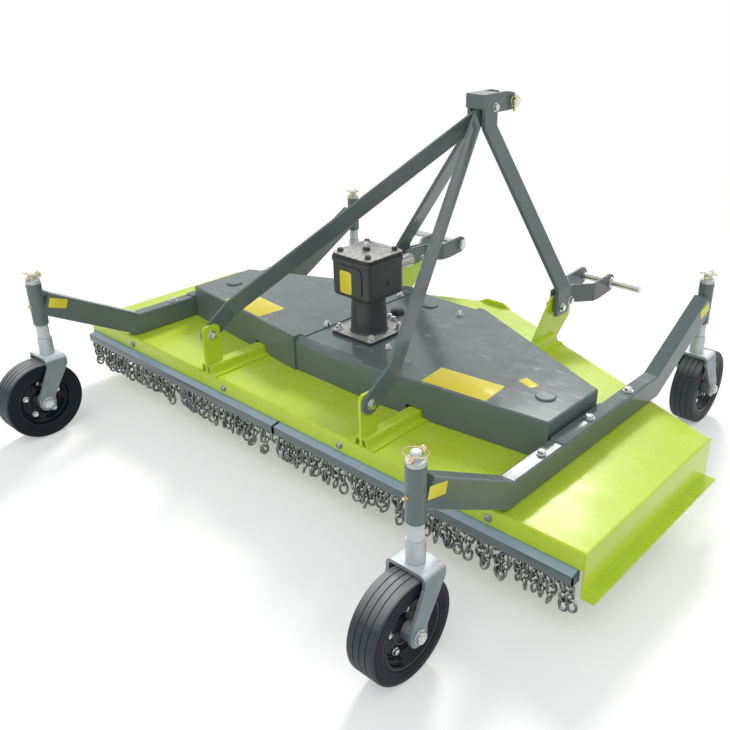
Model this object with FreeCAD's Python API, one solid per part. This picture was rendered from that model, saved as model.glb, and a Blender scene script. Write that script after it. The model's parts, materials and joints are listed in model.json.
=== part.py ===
"""Finishing mower for a tractor's three-point hitch.

Millimetres.  +X is the machine's right, +Y is forward, toward the tractor, and +Z is up.
The origin is on the floor, midway between the front and the rear caster stems.
"""
import FreeCAD, Part
import math
import os

V = FreeCAD.Vector

# ---- fits -------------------------------------------------------------------------------
FIT = 0.3            # running clearance between a shaft and its bore, on the radius
SEAT = 0.3           # gap left where a hanging or turning piece rests on another
OVERLAP = 1.0        # how far pieces welded to each other run into one another

# ---- cutting width ------------------------------------------------------------------------
OUTER_SPINDLE_Y = -27.0
CENTRE_SPINDLE_Y = 240.0
BLADE_RADIUS = 300.0
BLADE_OVERLAP = 22.0         # how far the outer blades sweep past the centre one, seen from behind
TIP_GAP = 8.0                # between the outer blades' tips and the side skirts

# ---- deck -------------------------------------------------------------------------------
DECK_REAR = -354.0           # rear edge
DECK_SIDE_DEPTH = 573.0      # length of the straight sides
NOSE_RISE = 356.0            # how far the nose lies in front of the side corners
NOSE_HALF_WIDTH = 60.0
DECK_TOP = 200.0
DECK_PLATE = 4.0
LIP_DEPTH = 41.0             # bent edge all round the deck
LIP_BEND = 7.0               # outer radius of that bend
NOSE_PLATE_HEIGHT = 14.0
NOSE_PLATE_SLOPE = 30.0      # sloped end of the nose plate
NOSE_PLATE = 6.0
SKIRT_PLATE = 4.0
SKIRT_BOTTOM = 93.0
SKIRT_FLANGE = 27.0

# ---- channels across the deck and their hitch lugs ----------------------------------------
LUG_X = 292.0
LUG_PLATE = 8.0
CHANNEL_WIDTH = 36.0         # across its top
CHANNEL_FOOT_WIDTH = 45.0    # across its walls where they meet the deck
CHANNEL_FLANGE = 18.0
CHANNEL_HEIGHT = 25.0
CHANNEL_PLATE = 4.0
CHANNEL_BEND = 3.0
CHANNEL_LENGTH = 809.0
REAR_LUG_REACH = 26.0        # rear lug bolt in front of the deck's rear edge
REAR_LUG_BOLT_HEIGHT = 105.0
REAR_LUG_RADIUS = 27.0
REAR_LUG_CORNER = 14.0
FRONT_LUG_BEHIND = 117.0     # foot of the front lug behind the middle of the legs
FRONT_LUG_AHEAD = 75.0       # its head in front of the middle of the legs
FRONT_LUG_HEAD = 55.0        # its head above the feet of the legs
FRONT_LUG_HEEL = 27.0        # its front corner below the feet of the legs
FRONT_LUG_TOE = 18.0         # its toe in front of the channel
FOOT_BOLT_HEIGHT = 23.0      # hitch bolts above the feet of the legs
FOOT_BOLT_BEHIND = 6.0       # rear one behind the middle of the legs
FOOT_BOLT_AHEAD = 61.0       # front one in front of the middle of the legs
LUG_BOLT = 7.0               # radius of the bolt holes in lugs, legs and struts

# ---- chain guard --------------------------------------------------------------------------
RAIL_WIDTH = 22.0
RAIL_HEIGHT = 30.0
RAIL_PLATE = 3.0
RAIL_TOP = 170.0
RAIL_INSET = 12.0            # rail ends inside the deck's sides
RAIL_SPLIT = 2.0             # half of the gap between the two rail halves
RAIL_ROD = 3.0               # radius of the rod that the chains hang from
STRAND_PITCH = 27.0
LINK_LENGTH = 28.0           # length that one link adds to a strand
LINK_WIDTH = 22.0
LINK_DEPTH = 14.0            # a turned link, front to rear
LINK_WIRE = 7.0
LINKS_PER_STRAND = 4

# ---- belt covers and gearbox stand ------------------------------------------------------------
COVER_ARM_GAP = 7.0          # between the covers and the caster arms
COVER_HEIGHT = 100.0
COVER_SHEET = 2.5
COVER_REAR = -125.0          # rear edge at the outer end
COVER_END_DEPTH = 214.0      # depth of the outer end
COVER_REAR_INSIDE = -184.0   # rear edge beside the stand
COVER_NOSE_HALF_WIDTH = 144.0
COVER_NOSE_RISE = 230.0
COVER_BEND = 4.0             # outer radius of the folded edges
COVER_CAP_RADIUS = 25.0
COVER_CAP_HEIGHT = 5.0
COVER_CAP_ROUND = 4.0
COVER_NOTCH = 3.0            # room round the channels
STAND_HALF_WIDTH = 125.0
STAND_REAR = -178.0
STAND_PLATE = 6.0
STAND_BEND = 20.0
COVER_OVERLAP = 20.0         # how far a cover's top reaches over the stand

# ---- gearbox ------------------------------------------------------------------------------------
BOX_Y = -18.0
BOX_HALF = 69.0
BOX_CORNER = 15.0
BOX_HEIGHT = 108.0
BOX_LOWER_ROUND = 14.0
BOX_LIP = 2.0                # bolting lip round the top, outward
BOX_LIP_HEIGHT = 12.0
NECK_RADIUS = 46.5
NECK_FOOT_RADIUS = 50.5
NECK_HEIGHT = 112.0
NECK_FLARE = 6.0
FOOT_HALF = 74.0
FOOT_CORNER = 9.0
FOOT_PLATE = 9.0
BOX_LID = 12.0
BOX_LID_CHAMFER = 2.0
BEARING_CAP_RADIUS = 39.0
BEARING_CAP_LENGTH = 10.0
SIDE_CAP_RADIUS = 38.0
SIDE_CAP_LENGTH = 5.0
REAR_PANEL_HALF = 44.0
REAR_PANEL_HEIGHT = 76.0
REAR_PANEL_CORNER = 14.0
REAR_PANEL_LENGTH = 3.0
SHAFT_RADIUS = 17.4
SHAFT_ROOT_RADIUS = 14.5
SHAFT_REACH = 90.0           # length of spline in front of the bearing cap
SHAFT_DEPTH = 45.0           # length of shaft inside the housing
SPLINE_WIDTH = 8.6
SPLINES = 6

# ---- mast ---------------------------------------------------------------------------------------
MAST_Y = 467.0               # middle of the mast legs
LEG_WIDTH = 60.0
LEG_PLATE = 12.0
LEG_FOOT = 285.0
LEG_LOWER_BEND = 366.0
BRACKET_TOP = 880.0
LEG_BEND_DROP = 93.0         # below the top of the bracket, as are the next two
BRACKET_BOLT_DROP = 39.0
TOP_PIN_DROP = 31.0
BRACKET_PLATE = 8.0
BRACKET_GAP = 48.0           # clear width for the top link's ball
BRACKET_REAR_HEIGHT = 40.0
BRACKET_BOLT_AHEAD = 18.0
BRACKET_BUSH_RADIUS = 13.0
TOP_PIN_RADIUS = 9.5
TOP_PIN_AHEAD = 98.0
TOP_PIN_EYE = 23.0
TOP_PIN_OVERHANG = 16.0
STRUT_WIDTH = 50.0
STRUT_PLATE = 8.0
STRUT_HEAD_GAP = 2.0         # between the heads of the two struts
STRUT_FOOT_RUN = 92.0        # from the lug bolt to the lower bend
STRUT_HEAD_RUN = 60.0        # from the upper bend to the bracket bolt

# ---- lower hitch clevises -------------------------------------------------------------------
CLEVIS_BEHIND = 17.0         # clevis plates behind the middle of the legs
CLEVIS_PLATE = 8.0
CLEVIS_SPREAD = 40.0         # sideways joggle of each plate
CLEVIS_JOGGLE_START = 75.0   # in front of the middle of the legs, as is the next
CLEVIS_JOGGLE_END = 130.0
CLEVIS_FOOT = 15.0           # foot of the plates above the feet of the legs
CLEVIS_FOOT_HEIGHT = 58.0
CLEVIS_FOOT_REACH = 80.0     # straight lower edge at the foot
CLEVIS_BELLY = 60.0          # start of the low edge behind the pin
CLEVIS_BELLY_DROP = 8.0      # that corner below the pin's eye
CLEVIS_BACK = 90.0           # upper corner behind the pin
CLEVIS_BACK_RISE = 20.0      # and above it
PIN_AHEAD = 221.0
PIN_Z = 330.0
PIN_RADIUS = 11.0
PIN_EYE = 27.0
PIN_REACH = 101.0            # pin outside the outer plate
PIN_COLLAR_RADIUS = 17.0
PIN_COLLAR = 9.0
PIN_NUT_RADIUS = 18.0
PIN_NUT = 12.0

# ---- caster arms and casters ------------------------------------------------------------------
STEM_INSET = 213.0           # caster stems inside the deck's sides
STEM_Y = 602.0
ARM_WIDTH = 40.0
ARM_HEIGHT = 63.0
ARM_FLAT_HALF = 324.0
ARM_HEAD_Z = 383.0           # arm's middle where it would reach the stem
ARM_CORNER = 5.0             # rounded edges of the tube
SLEEVE_RADIUS = 20.0
SLEEVE_BOTTOM = 318.0
SLEEVE_HEIGHT = 116.0
STEM_RADIUS = 12.7
STEM_TIP_RADIUS = 11.0
STEM_ABOVE = 28.0            # stem above the sleeve
STEM_WASHER_RADIUS = 19.0
STEM_WASHER = 10.0
FORK_TOP = 230.0
FORK_PLATE = 7.5
FORK_WIDTH = 96.0
FORK_CROWN_HALF = 29.0
FORK_BEND = 14.0
FORK_SHOULDER = 26.0         # from the crown's top down to where the arms start to taper
FORK_EYE = 23.0
FORK_WAIST_ROUND = 14.0
COLLAR_RADIUS = 19.0
COLLAR_HEIGHT = 48.0
SPACER_RADIUS = 16.5
SPACERS = 7
SPACER_GROOVE = 2.0
TRAIL = 45.0
WHEEL_RADIUS = 108.0
TYRE_HALF_WIDTH = 35.0
RIM_RADIUS = 62.0
HUB_RADIUS = 18.0
AXLE_RADIUS = 8.0
AXLE_NUT_RADIUS = 13.0
AXLE_NUT = 9.0

# ---- blade spindles -----------------------------------------------------------------------------
SPINDLE_FLANGE_RADIUS = 75.0
SPINDLE_FLANGE = 8.0
SPINDLE_RADIUS = 42.0
SPINDLE_TAPER = 6.0
SPINDLE_DROP = 56.0          # housing below the deck's underside
SPINDLE_RISE = 40.0          # housing above the deck
BLADE_SHAFT_RADIUS = 15.0
BLADE_WIDTH = 60.0
BLADE_PLATE = 8.0
BLADE_BOTTOM = 112.0
BLADE_BOSS_RADIUS = 30.0
BLADE_NUT_RADIUS = 17.0
BLADE_NUT = 11.0
BLADE_SHAFT_ABOVE = 20.0     # shaft above its housing
BLADE_WING = 85.0            # length of the upturned tip
BLADE_WING_DEPTH = 21.0
BLADE_WING_RISE = 16.0

# ---- places worked out from the sizes above ---------------------------------------------------
OUTER_SPINDLE_X = 2 * BLADE_RADIUS - BLADE_OVERLAP
DECK_HALF_WIDTH = OUTER_SPINDLE_X + BLADE_RADIUS + TIP_GAP + SKIRT_PLATE
DECK_CORNER = DECK_REAR + DECK_SIDE_DEPTH
DECK_NOSE = DECK_CORNER + NOSE_RISE
DECK_UNDER = DECK_TOP - DECK_PLATE
PAN_HALF_WIDTH = DECK_HALF_WIDTH - SKIRT_PLATE
RAIL_HALF_LENGTH = DECK_HALF_WIDTH - RAIL_INSET
CHANNEL_TOP = DECK_TOP + CHANNEL_HEIGHT
REAR_BOLT_Y = DECK_REAR + REAR_LUG_REACH
REAR_BOLT_Z = DECK_TOP + REAR_LUG_BOLT_HEIGHT
STEM_X = DECK_HALF_WIDTH - STEM_INSET
COVER_HALF_WIDTH = STEM_X - ARM_WIDTH / 2 - COVER_ARM_GAP
COVER_TOP = DECK_TOP + COVER_HEIGHT
STAND_TOP = COVER_TOP - COVER_SHEET
COVER_NOSE = COVER_REAR + COVER_END_DEPTH + COVER_NOSE_RISE
BOX_BASE = STAND_TOP + NECK_HEIGHT
BOX_TOP = BOX_BASE + BOX_HEIGHT
SHAFT_Z = BOX_BASE + BOX_HEIGHT / 2
LEG_REAR = MAST_Y - LEG_WIDTH / 2
LEG_FRONT = MAST_Y + LEG_WIDTH / 2
LEG_HEAD = BRACKET_TOP - BRACKET_PLATE
LEG_UPPER_BEND = BRACKET_TOP - LEG_BEND_DROP
BRACKET_BOLT_Y = MAST_Y + BRACKET_BOLT_AHEAD
BRACKET_BOLT_Z = BRACKET_TOP - BRACKET_BOLT_DROP
TOP_PIN_Y = MAST_Y + TOP_PIN_AHEAD
TOP_PIN_Z = BRACKET_TOP - TOP_PIN_DROP
CLEVIS_REAR = MAST_Y - CLEVIS_BEHIND
PIN_Y = MAST_Y + PIN_AHEAD
SLEEVE_TOP = SLEEVE_BOTTOM + SLEEVE_HEIGHT
ARM_MIDDLE_Z = DECK_TOP + ARM_HEIGHT / 2
BRACKET_SIDE_X = BRACKET_GAP / 2 + BRACKET_PLATE
PIN_PLATE_X = LUG_X + LUG_PLATE / 2 + CLEVIS_SPREAD + CLEVIS_PLATE
SPINDLES = {
    "left": (-OUTER_SPINDLE_X, OUTER_SPINDLE_Y),
    "centre": (0.0, CENTRE_SPINDLE_Y),
    "right": (OUTER_SPINDLE_X, OUTER_SPINDLE_Y),
}


# ---- shape helpers ------------------------------------------------------------------------------
def at(axis, a, b, c):
    """Point with in-plane coordinates a, b and distance c along the axis."""
    return {"x": V(c, a, b), "y": V(a, c, b), "z": V(a, b, c)}[axis]


def outline(points, axis, level):
    """Closed wire through the points; a third value in a point rounds that corner."""
    edges = []
    ends = []
    for i, point in enumerate(points):
        here = at(axis, point[0], point[1], level)
        if len(point) < 3:
            ends.append((here, here))
            continue
        before = at(axis, points[i - 1][0], points[i - 1][1], level)
        after = at(axis, points[(i + 1) % len(points)][0], points[(i + 1) % len(points)][1], level)
        to_before = (before - here).normalize()
        to_after = (after - here).normalize()
        half = to_before.getAngle(to_after) / 2
        reach = point[2] / math.tan(half)
        middle = (to_before + to_after).normalize()
        crown = here + middle * (point[2] / math.sin(half) - point[2])
        start = here + to_before * reach
        end = here + to_after * reach
        edges.append(Part.Arc(start, crown, end).toShape())
        ends.append((start, end))
    for i, (_, leave) in enumerate(ends):
        arrive = ends[(i + 1) % len(ends)][0]
        if leave.distanceToPoint(arrive) > 1e-6:
            edges.append(Part.makeLine(leave, arrive))
    return Part.Wire(Part.__sortEdges__(edges))


def prism(points, axis, start, end):
    """Outline drawn square to the axis and pulled along it from start to end."""
    face = Part.Face(outline(points, axis, start))
    return face.extrude(at(axis, 0, 0, end - start))


def box(x0, x1, y0, y1, z0, z1):
    return Part.makeBox(x1 - x0, y1 - y0, z1 - z0, V(x0, y0, z0))


def rod(radius, start, end):
    """Solid cylinder between two points."""
    return Part.makeCylinder(radius, start.distanceToPoint(end), start, end - start)


def hexagon(radius, start, end):
    """Hexagonal prism between two points on a line along X or Z."""
    along = end - start
    axis = "x" if abs(along.x) > abs(along.z) else "z"
    corners = [math.radians(60 * i) for i in range(6)]
    if axis == "x":
        points = [(start.y + radius * math.cos(c), start.z + radius * math.sin(c)) for c in corners]
        return prism(points, axis, start.x, end.x)
    points = [(start.x + radius * math.cos(c), start.y + radius * math.sin(c)) for c in corners]
    return prism(points, axis, start.z, end.z)


def revolve(profile, base, direction, across):
    """Turn (radius, distance) points about an axis through base; across is the radius direction."""
    points = [base + across * r + direction * d for r, d in profile]
    face = Part.Face(Part.makePolygon(points + points[:1]))
    return face.revolve(base, direction, 360)


def inset(points, distance):
    """Polygon with every edge moved inward by the distance; corners run anticlockwise."""
    moved = []
    count = len(points)
    for i in range(count):
        ax, ay = points[i - 1]
        bx, by = points[i]
        cx, cy = points[(i + 1) % count]
        first = V(bx - ax, by - ay, 0).normalize()
        second = V(cx - bx, cy - by, 0).normalize()
        turn = first.x * second.y - first.y * second.x
        lean = (1 - first.dot(second)) / turn if abs(turn) > 1e-9 else 0.0
        moved.append((bx - first.y * distance - first.x * lean * distance,
                      by + first.x * distance - first.y * lean * distance))
    return moved


def strip(path, thickness, bend=0.0):
    """Outline of a flat bar bent along a centre line; bend is its inner bend radius."""
    sides = []
    for side in (1, -1):
        row = []
        for i, (a, b) in enumerate(path):
            before = V(a - path[i - 1][0], b - path[i - 1][1], 0) if i else None
            after = V(path[i + 1][0] - a, path[i + 1][1] - b, 0) if i + 1 < len(path) else None
            run_in = before.normalize() if before else after.normalize()
            run_out = after.normalize() if after else V(run_in)
            turn = run_in.x * run_out.y - run_in.y * run_out.x
            lean = turn / (1 + run_in.dot(run_out))
            shift = side * thickness / 2
            point = (a - shift * (run_in.y + run_in.x * lean), b + shift * (run_in.x - run_in.y * lean))
            if abs(turn) > 1e-6 and bend > 0:
                inner = turn * side > 0
                point = point + (bend if inner else bend + thickness,)
            row.append(point)
        sides.append(row)
    return sides[0] + sides[1][::-1]


def fuse(first, *others):
    return first.fuse(list(others)).removeSplitter()


def turned(shape, degrees):
    """Copy of the shape turned about the Z axis."""
    other = shape.copy()
    other.rotate(V(0, 0, 0), V(0, 0, 1), degrees)
    return other


def mirrored(shape):
    return shape.mirror(V(0, 0, 0), V(1, 0, 0))


# ---- deck ---------------------------------------------------------------------------------------
def deck_outline():
    return [
        (-PAN_HALF_WIDTH, DECK_REAR),
        (PAN_HALF_WIDTH, DECK_REAR),
        (PAN_HALF_WIDTH, DECK_CORNER),
        (NOSE_HALF_WIDTH, DECK_NOSE),
        (-NOSE_HALF_WIDTH, DECK_NOSE),
        (-PAN_HALF_WIDTH, DECK_CORNER),
    ]


def deck():
    """Plate with its edge bent down all round and a hole for each spindle."""
    pan = prism(deck_outline(), "z", DECK_TOP - LIP_DEPTH, DECK_TOP)
    bends = []
    for edge in pan.Edges:
        bounds = edge.BoundBox
        if bounds.ZMin > DECK_TOP - 1 and bounds.XMax - bounds.XMin > 1:
            bends.append(edge)
    pan = pan.makeFillet(LIP_BEND, bends)
    pan = pan.cut(prism(inset(deck_outline(), DECK_PLATE), "z", DECK_TOP - LIP_DEPTH, DECK_UNDER))
    for x, y in SPINDLES.values():
        pan = pan.cut(rod(SPINDLE_RADIUS + FIT, V(x, y, DECK_UNDER - 1), V(x, y, DECK_TOP + 1)))
    crown = NOSE_HALF_WIDTH - NOSE_PLATE_SLOPE
    stiffener = prism([
        (-NOSE_HALF_WIDTH, DECK_TOP - LIP_BEND),
        (NOSE_HALF_WIDTH, DECK_TOP - LIP_BEND),
        (NOSE_HALF_WIDTH, DECK_TOP),
        (crown, DECK_TOP + NOSE_PLATE_HEIGHT),
        (-crown, DECK_TOP + NOSE_PLATE_HEIGHT),
        (-NOSE_HALF_WIDTH, DECK_TOP),
    ], "y", DECK_NOSE - NOSE_PLATE, DECK_NOSE)
    return fuse(pan, stiffener)


def side_skirt():
    """Right side plate with its foot flange turned outward."""
    middle_x = DECK_HALF_WIDTH - SKIRT_PLATE / 2
    middle_z = SKIRT_BOTTOM + SKIRT_PLATE / 2
    path = [(middle_x, DECK_TOP), (middle_x, middle_z), (DECK_HALF_WIDTH + SKIRT_FLANGE, middle_z)]
    skirt = prism(strip(path, SKIRT_PLATE, SKIRT_PLATE / 2), "y", DECK_REAR, DECK_CORNER)
    top = [edge for edge in skirt.Edges if edge.BoundBox.ZMin > DECK_TOP - 1]
    crown = [edge for edge in top if edge.BoundBox.XMin > DECK_HALF_WIDTH - 1]
    return skirt.makeFillet(SKIRT_PLATE - 1, crown)


def channel_path(middle_x):
    """Centre line of the channel's sheet: a flange, a leaning wall, the top and the same again."""
    foot = DECK_TOP + CHANNEL_PLATE / 2
    crown = CHANNEL_TOP - CHANNEL_PLATE / 2
    half_top = (CHANNEL_WIDTH - CHANNEL_PLATE) / 2
    half_foot = (CHANNEL_FOOT_WIDTH - CHANNEL_PLATE) / 2
    flange = CHANNEL_FOOT_WIDTH / 2 + CHANNEL_FLANGE
    side = [(flange, foot), (half_foot, foot), (half_top, crown)]
    return [(middle_x - x, z) for x, z in side] + [(middle_x + x, z) for x, z in side[::-1]]


def deck_channel():
    """Hat-shaped channel across the right half of the deck with both hitch lugs welded through it."""
    end = DECK_REAR + CHANNEL_LENGTH
    channel = prism(strip(channel_path(LUG_X), CHANNEL_PLATE, CHANNEL_BEND), "y", DECK_REAR, end)
    x0 = LUG_X - LUG_PLATE / 2
    x1 = LUG_X + LUG_PLATE / 2
    r = REAR_LUG_RADIUS
    rear = prism([
        (DECK_REAR, DECK_TOP),
        (REAR_BOLT_Y + r, DECK_TOP),
        (REAR_BOLT_Y + r, REAR_BOLT_Z + r, REAR_LUG_CORNER),
        (DECK_REAR, REAR_BOLT_Z + r, REAR_LUG_CORNER),
    ], "x", x0, x1)
    head = LEG_FOOT + FRONT_LUG_HEAD
    front = prism([
        (MAST_Y - FRONT_LUG_BEHIND, CHANNEL_TOP - OVERLAP),
        (MAST_Y - FRONT_LUG_BEHIND, DECK_TOP),
        (end + FRONT_LUG_TOE, DECK_TOP),
        (MAST_Y + FRONT_LUG_AHEAD, LEG_FOOT - FRONT_LUG_HEEL, 8),
        (MAST_Y + FRONT_LUG_AHEAD, head, 14),
        (LEG_REAR, head, 14),
    ], "x", x0, x1)
    holes = [(REAR_BOLT_Y, REAR_BOLT_Z)] + foot_bolts()
    lugs = fuse(channel, rear, front)
    for y, z in holes:
        lugs = lugs.cut(rod(LUG_BOLT, V(x0 - 1, y, z), V(x1 + 1, y, z)))
    return lugs


def foot_bolts():
    """The bolt through mast leg, clevis plates and lug, and the one in front of the leg."""
    z = LEG_FOOT + FOOT_BOLT_HEIGHT
    return [(MAST_Y - FOOT_BOLT_BEHIND, z), (MAST_Y + FOOT_BOLT_AHEAD, z)]


# ---- chain guard ----------------------------------------------------------------------------------
def rail_middle():
    return DECK_REAR - RAIL_WIDTH / 2


def chain_rail():
    """Right half of the channel that holds the chains, with the rod that they hang from."""
    y0 = DECK_REAR - RAIL_WIDTH + RAIL_PLATE / 2
    y1 = DECK_REAR - RAIL_PLATE / 2
    foot = RAIL_TOP - RAIL_HEIGHT
    crown = RAIL_TOP - RAIL_PLATE / 2
    path = [(y0, foot), (y0, crown), (y1, crown), (y1, foot)]
    channel = prism(strip(path, RAIL_PLATE, RAIL_PLATE), "x", RAIL_SPLIT, RAIL_HALF_LENGTH)
    z = RAIL_TOP - RAIL_HEIGHT / 2
    hanger = rod(RAIL_ROD, V(RAIL_SPLIT, rail_middle(), z), V(RAIL_HALF_LENGTH, rail_middle(), z))
    ends = []
    for x in (RAIL_SPLIT, RAIL_HALF_LENGTH - RAIL_PLATE):
        ends.append(box(x, x + RAIL_PLATE, y0, y1, foot, crown))
    return fuse(channel, hanger, *ends)


def chains():
    """Hanging chain strands of the right half: every second link is turned a quarter."""
    y = rail_middle()
    top = RAIL_TOP - RAIL_HEIGHT / 2 - RAIL_ROD - SEAT
    room = RAIL_HALF_LENGTH - RAIL_SPLIT - 2 * RAIL_PLATE
    first = RAIL_SPLIT + RAIL_PLATE + STRAND_PITCH / 2
    links = []
    for strand in range(int(room / STRAND_PITCH)):
        x = first + strand * STRAND_PITCH
        for k in range(LINKS_PER_STRAND):
            across, deep = (LINK_WIDTH, LINK_WIRE) if (strand + k) % 2 else (LINK_WIRE, LINK_DEPTH)
            z1 = top - k * LINK_LENGTH
            z0 = z1 - LINK_LENGTH + SEAT
            links.append(box(x - across / 2, x + across / 2, y - deep / 2, y + deep / 2, z0, z1))
    return Part.makeCompound(links)


# ---- covers and stand -----------------------------------------------------------------------------
def belt_cover():
    """Right belt cover: a folded sheet box with an edge that reaches over the stand."""
    x0 = STAND_HALF_WIDTH + SEAT
    plan = [
        (x0, COVER_REAR_INSIDE),
        (COVER_HALF_WIDTH, COVER_REAR),
        (COVER_HALF_WIDTH, COVER_REAR + COVER_END_DEPTH),
        (COVER_NOSE_HALF_WIDTH, COVER_NOSE),
        (x0, COVER_NOSE),
    ]
    shell = prism(plan, "z", DECK_TOP, COVER_TOP)
    top = [edge for edge in shell.Edges if edge.BoundBox.ZMin > COVER_TOP - 1]
    folds = [edge for edge in top if edge.BoundBox.XMax > x0 + 1]
    shell = shell.makeFillet(COVER_BEND, folds)
    shell = shell.cut(prism(inset(plan, COVER_SHEET), "z", DECK_TOP, COVER_TOP - COVER_SHEET))
    flange = box(x0 - COVER_OVERLAP, x0 + OVERLAP, STAND_REAR + STAND_BEND, COVER_NOSE - STAND_BEND,
                 STAND_TOP, COVER_TOP)
    half = CHANNEL_FOOT_WIDTH / 2 + COVER_NOTCH
    notch = box(LUG_X - half, LUG_X + half, DECK_REAR, DECK_NOSE, DECK_TOP - 1, CHANNEL_TOP + COVER_NOTCH)
    half = half + CHANNEL_FLANGE
    slot = box(LUG_X - half, LUG_X + half, DECK_REAR, DECK_NOSE, DECK_TOP - 1, DECK_TOP + CHANNEL_PLATE + 1)
    cap = cover_cap(OUTER_SPINDLE_X, OUTER_SPINDLE_Y, COVER_TOP)
    return fuse(shell, flange, cap).cut(notch).cut(slot)


def cover_cap(x, y, level):
    """Round cap over a spindle."""
    cap = rod(COVER_CAP_RADIUS, V(x, y, level - OVERLAP), V(x, y, level + COVER_CAP_HEIGHT))
    crown = [edge for edge in cap.Edges if edge.BoundBox.ZMin > level]
    return cap.makeFillet(COVER_CAP_ROUND, crown)


def gearbox_stand():
    """Bent plate that bridges the drive and carries the gearbox."""
    rear = STAND_REAR + STAND_PLATE / 2
    front = COVER_NOSE - STAND_PLATE / 2
    crown = STAND_TOP - STAND_PLATE / 2
    path = [(rear, DECK_TOP), (rear, crown), (front, crown), (front, DECK_TOP)]
    sheet = strip(path, STAND_PLATE, STAND_BEND - STAND_PLATE)
    bridge = prism(sheet, "x", -STAND_HALF_WIDTH, STAND_HALF_WIDTH)
    return fuse(bridge, cover_cap(0, CENTRE_SPINDLE_Y, STAND_TOP))


# ---- gearbox ----------------------------------------------------------------------------------------
def rounded_square(half, radius):
    return [(x, BOX_Y + y, radius) for x, y in ((-half, -half), (half, -half), (half, half), (-half, half))]


def gearbox_neck():
    """Square foot with the neck that flares at both ends."""
    foot = prism(rounded_square(FOOT_HALF, FOOT_CORNER), "z", STAND_TOP, STAND_TOP + FOOT_PLATE)
    top = NECK_HEIGHT + BOX_LOWER_ROUND
    neck = revolve([
        (0, OVERLAP), (NECK_FOOT_RADIUS + NECK_FLARE, OVERLAP), (NECK_FOOT_RADIUS, FOOT_PLATE + NECK_FLARE),
        (NECK_RADIUS, NECK_HEIGHT - 2 * NECK_FLARE), (NECK_RADIUS + NECK_FLARE, NECK_HEIGHT),
        (NECK_RADIUS + NECK_FLARE, top), (0, top),
    ], V(0, BOX_Y, STAND_TOP), V(0, 0, 1), V(1, 0, 0))
    return fuse(foot, neck)


def gearbox_housing():
    """Cast housing: neck, rounded box with its bolting lip, bearing caps and the rear panel."""
    body = prism(rounded_square(BOX_HALF, BOX_CORNER), "z", BOX_BASE, BOX_TOP)
    lower = [edge for edge in body.Edges if edge.BoundBox.ZMax < BOX_BASE + 1]
    body = body.makeFillet(BOX_LOWER_ROUND, lower)
    lip = prism(rounded_square(BOX_HALF + BOX_LIP, BOX_CORNER), "z", BOX_TOP - BOX_LIP_HEIGHT, BOX_TOP)
    lip_foot = [edge for edge in lip.Edges if edge.BoundBox.ZMax < BOX_TOP - BOX_LIP_HEIGHT + 1]
    lip = lip.makeChamfer(BOX_LIP - FIT, lip_foot)
    face_y = BOX_Y + BOX_HALF
    cap = rod(BEARING_CAP_RADIUS, V(0, face_y - OVERLAP, SHAFT_Z),
              V(0, face_y + BEARING_CAP_LENGTH, SHAFT_Z))
    side_cap = rod(SIDE_CAP_RADIUS, V(OVERLAP - BOX_HALF, BOX_Y, SHAFT_Z),
                   V(-BOX_HALF - SIDE_CAP_LENGTH, BOX_Y, SHAFT_Z))
    back = BOX_Y - BOX_HALF
    panel_corners = []
    for x, z in ((-1, -1), (1, -1), (1, 1), (-1, 1)):
        panel_corners.append((x * REAR_PANEL_HALF, SHAFT_Z + z * REAR_PANEL_HEIGHT / 2, REAR_PANEL_CORNER))
    panel = prism(panel_corners, "y", back - REAR_PANEL_LENGTH, back + OVERLAP)
    cap_end = face_y + BEARING_CAP_LENGTH
    bore = rod(SHAFT_RADIUS + FIT, V(0, cap_end - SHAFT_DEPTH - SEAT, SHAFT_Z), V(0, cap_end + 1, SHAFT_Z))
    return fuse(gearbox_neck(), body, lip, cap, side_cap, panel).cut(bore)


def gearbox_cap():
    """Bolted lid on top of the gearbox."""
    lid = prism(rounded_square(BOX_HALF, BOX_CORNER), "z", BOX_TOP, BOX_TOP + BOX_LID)
    upper = [edge for edge in lid.Edges if edge.BoundBox.ZMin > BOX_TOP + BOX_LID - 1]
    return lid.makeChamfer(BOX_LID_CHAMFER, upper)


def input_shaft():
    """Power take-off shaft with six splines."""
    start = BOX_Y + BOX_HALF + BEARING_CAP_LENGTH
    tip = start + SHAFT_REACH
    core = rod(SHAFT_ROOT_RADIUS, V(0, start, SHAFT_Z), V(0, tip, SHAFT_Z))
    journal = rod(SHAFT_RADIUS, V(0, start - SHAFT_DEPTH, SHAFT_Z), V(0, start + 12, SHAFT_Z))
    envelope = rod(SHAFT_RADIUS, V(0, start, SHAFT_Z), V(0, tip, SHAFT_Z))
    ribs = []
    half = SPLINE_WIDTH / 2
    for i in range(SPLINES // 2):
        rib = box(-SHAFT_RADIUS - 1, SHAFT_RADIUS + 1, start, tip, SHAFT_Z - half, SHAFT_Z + half)
        rib.rotate(V(0, 0, SHAFT_Z), V(0, 1, 0), 360 / SPLINES * i)
        ribs.append(rib.common(envelope))
    return fuse(core, journal, *ribs)


# ---- mast -------------------------------------------------------------------------------------------
def leg_foot_x():
    return LUG_X + LUG_PLATE / 2 + CLEVIS_PLATE + LEG_PLATE / 2


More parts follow.
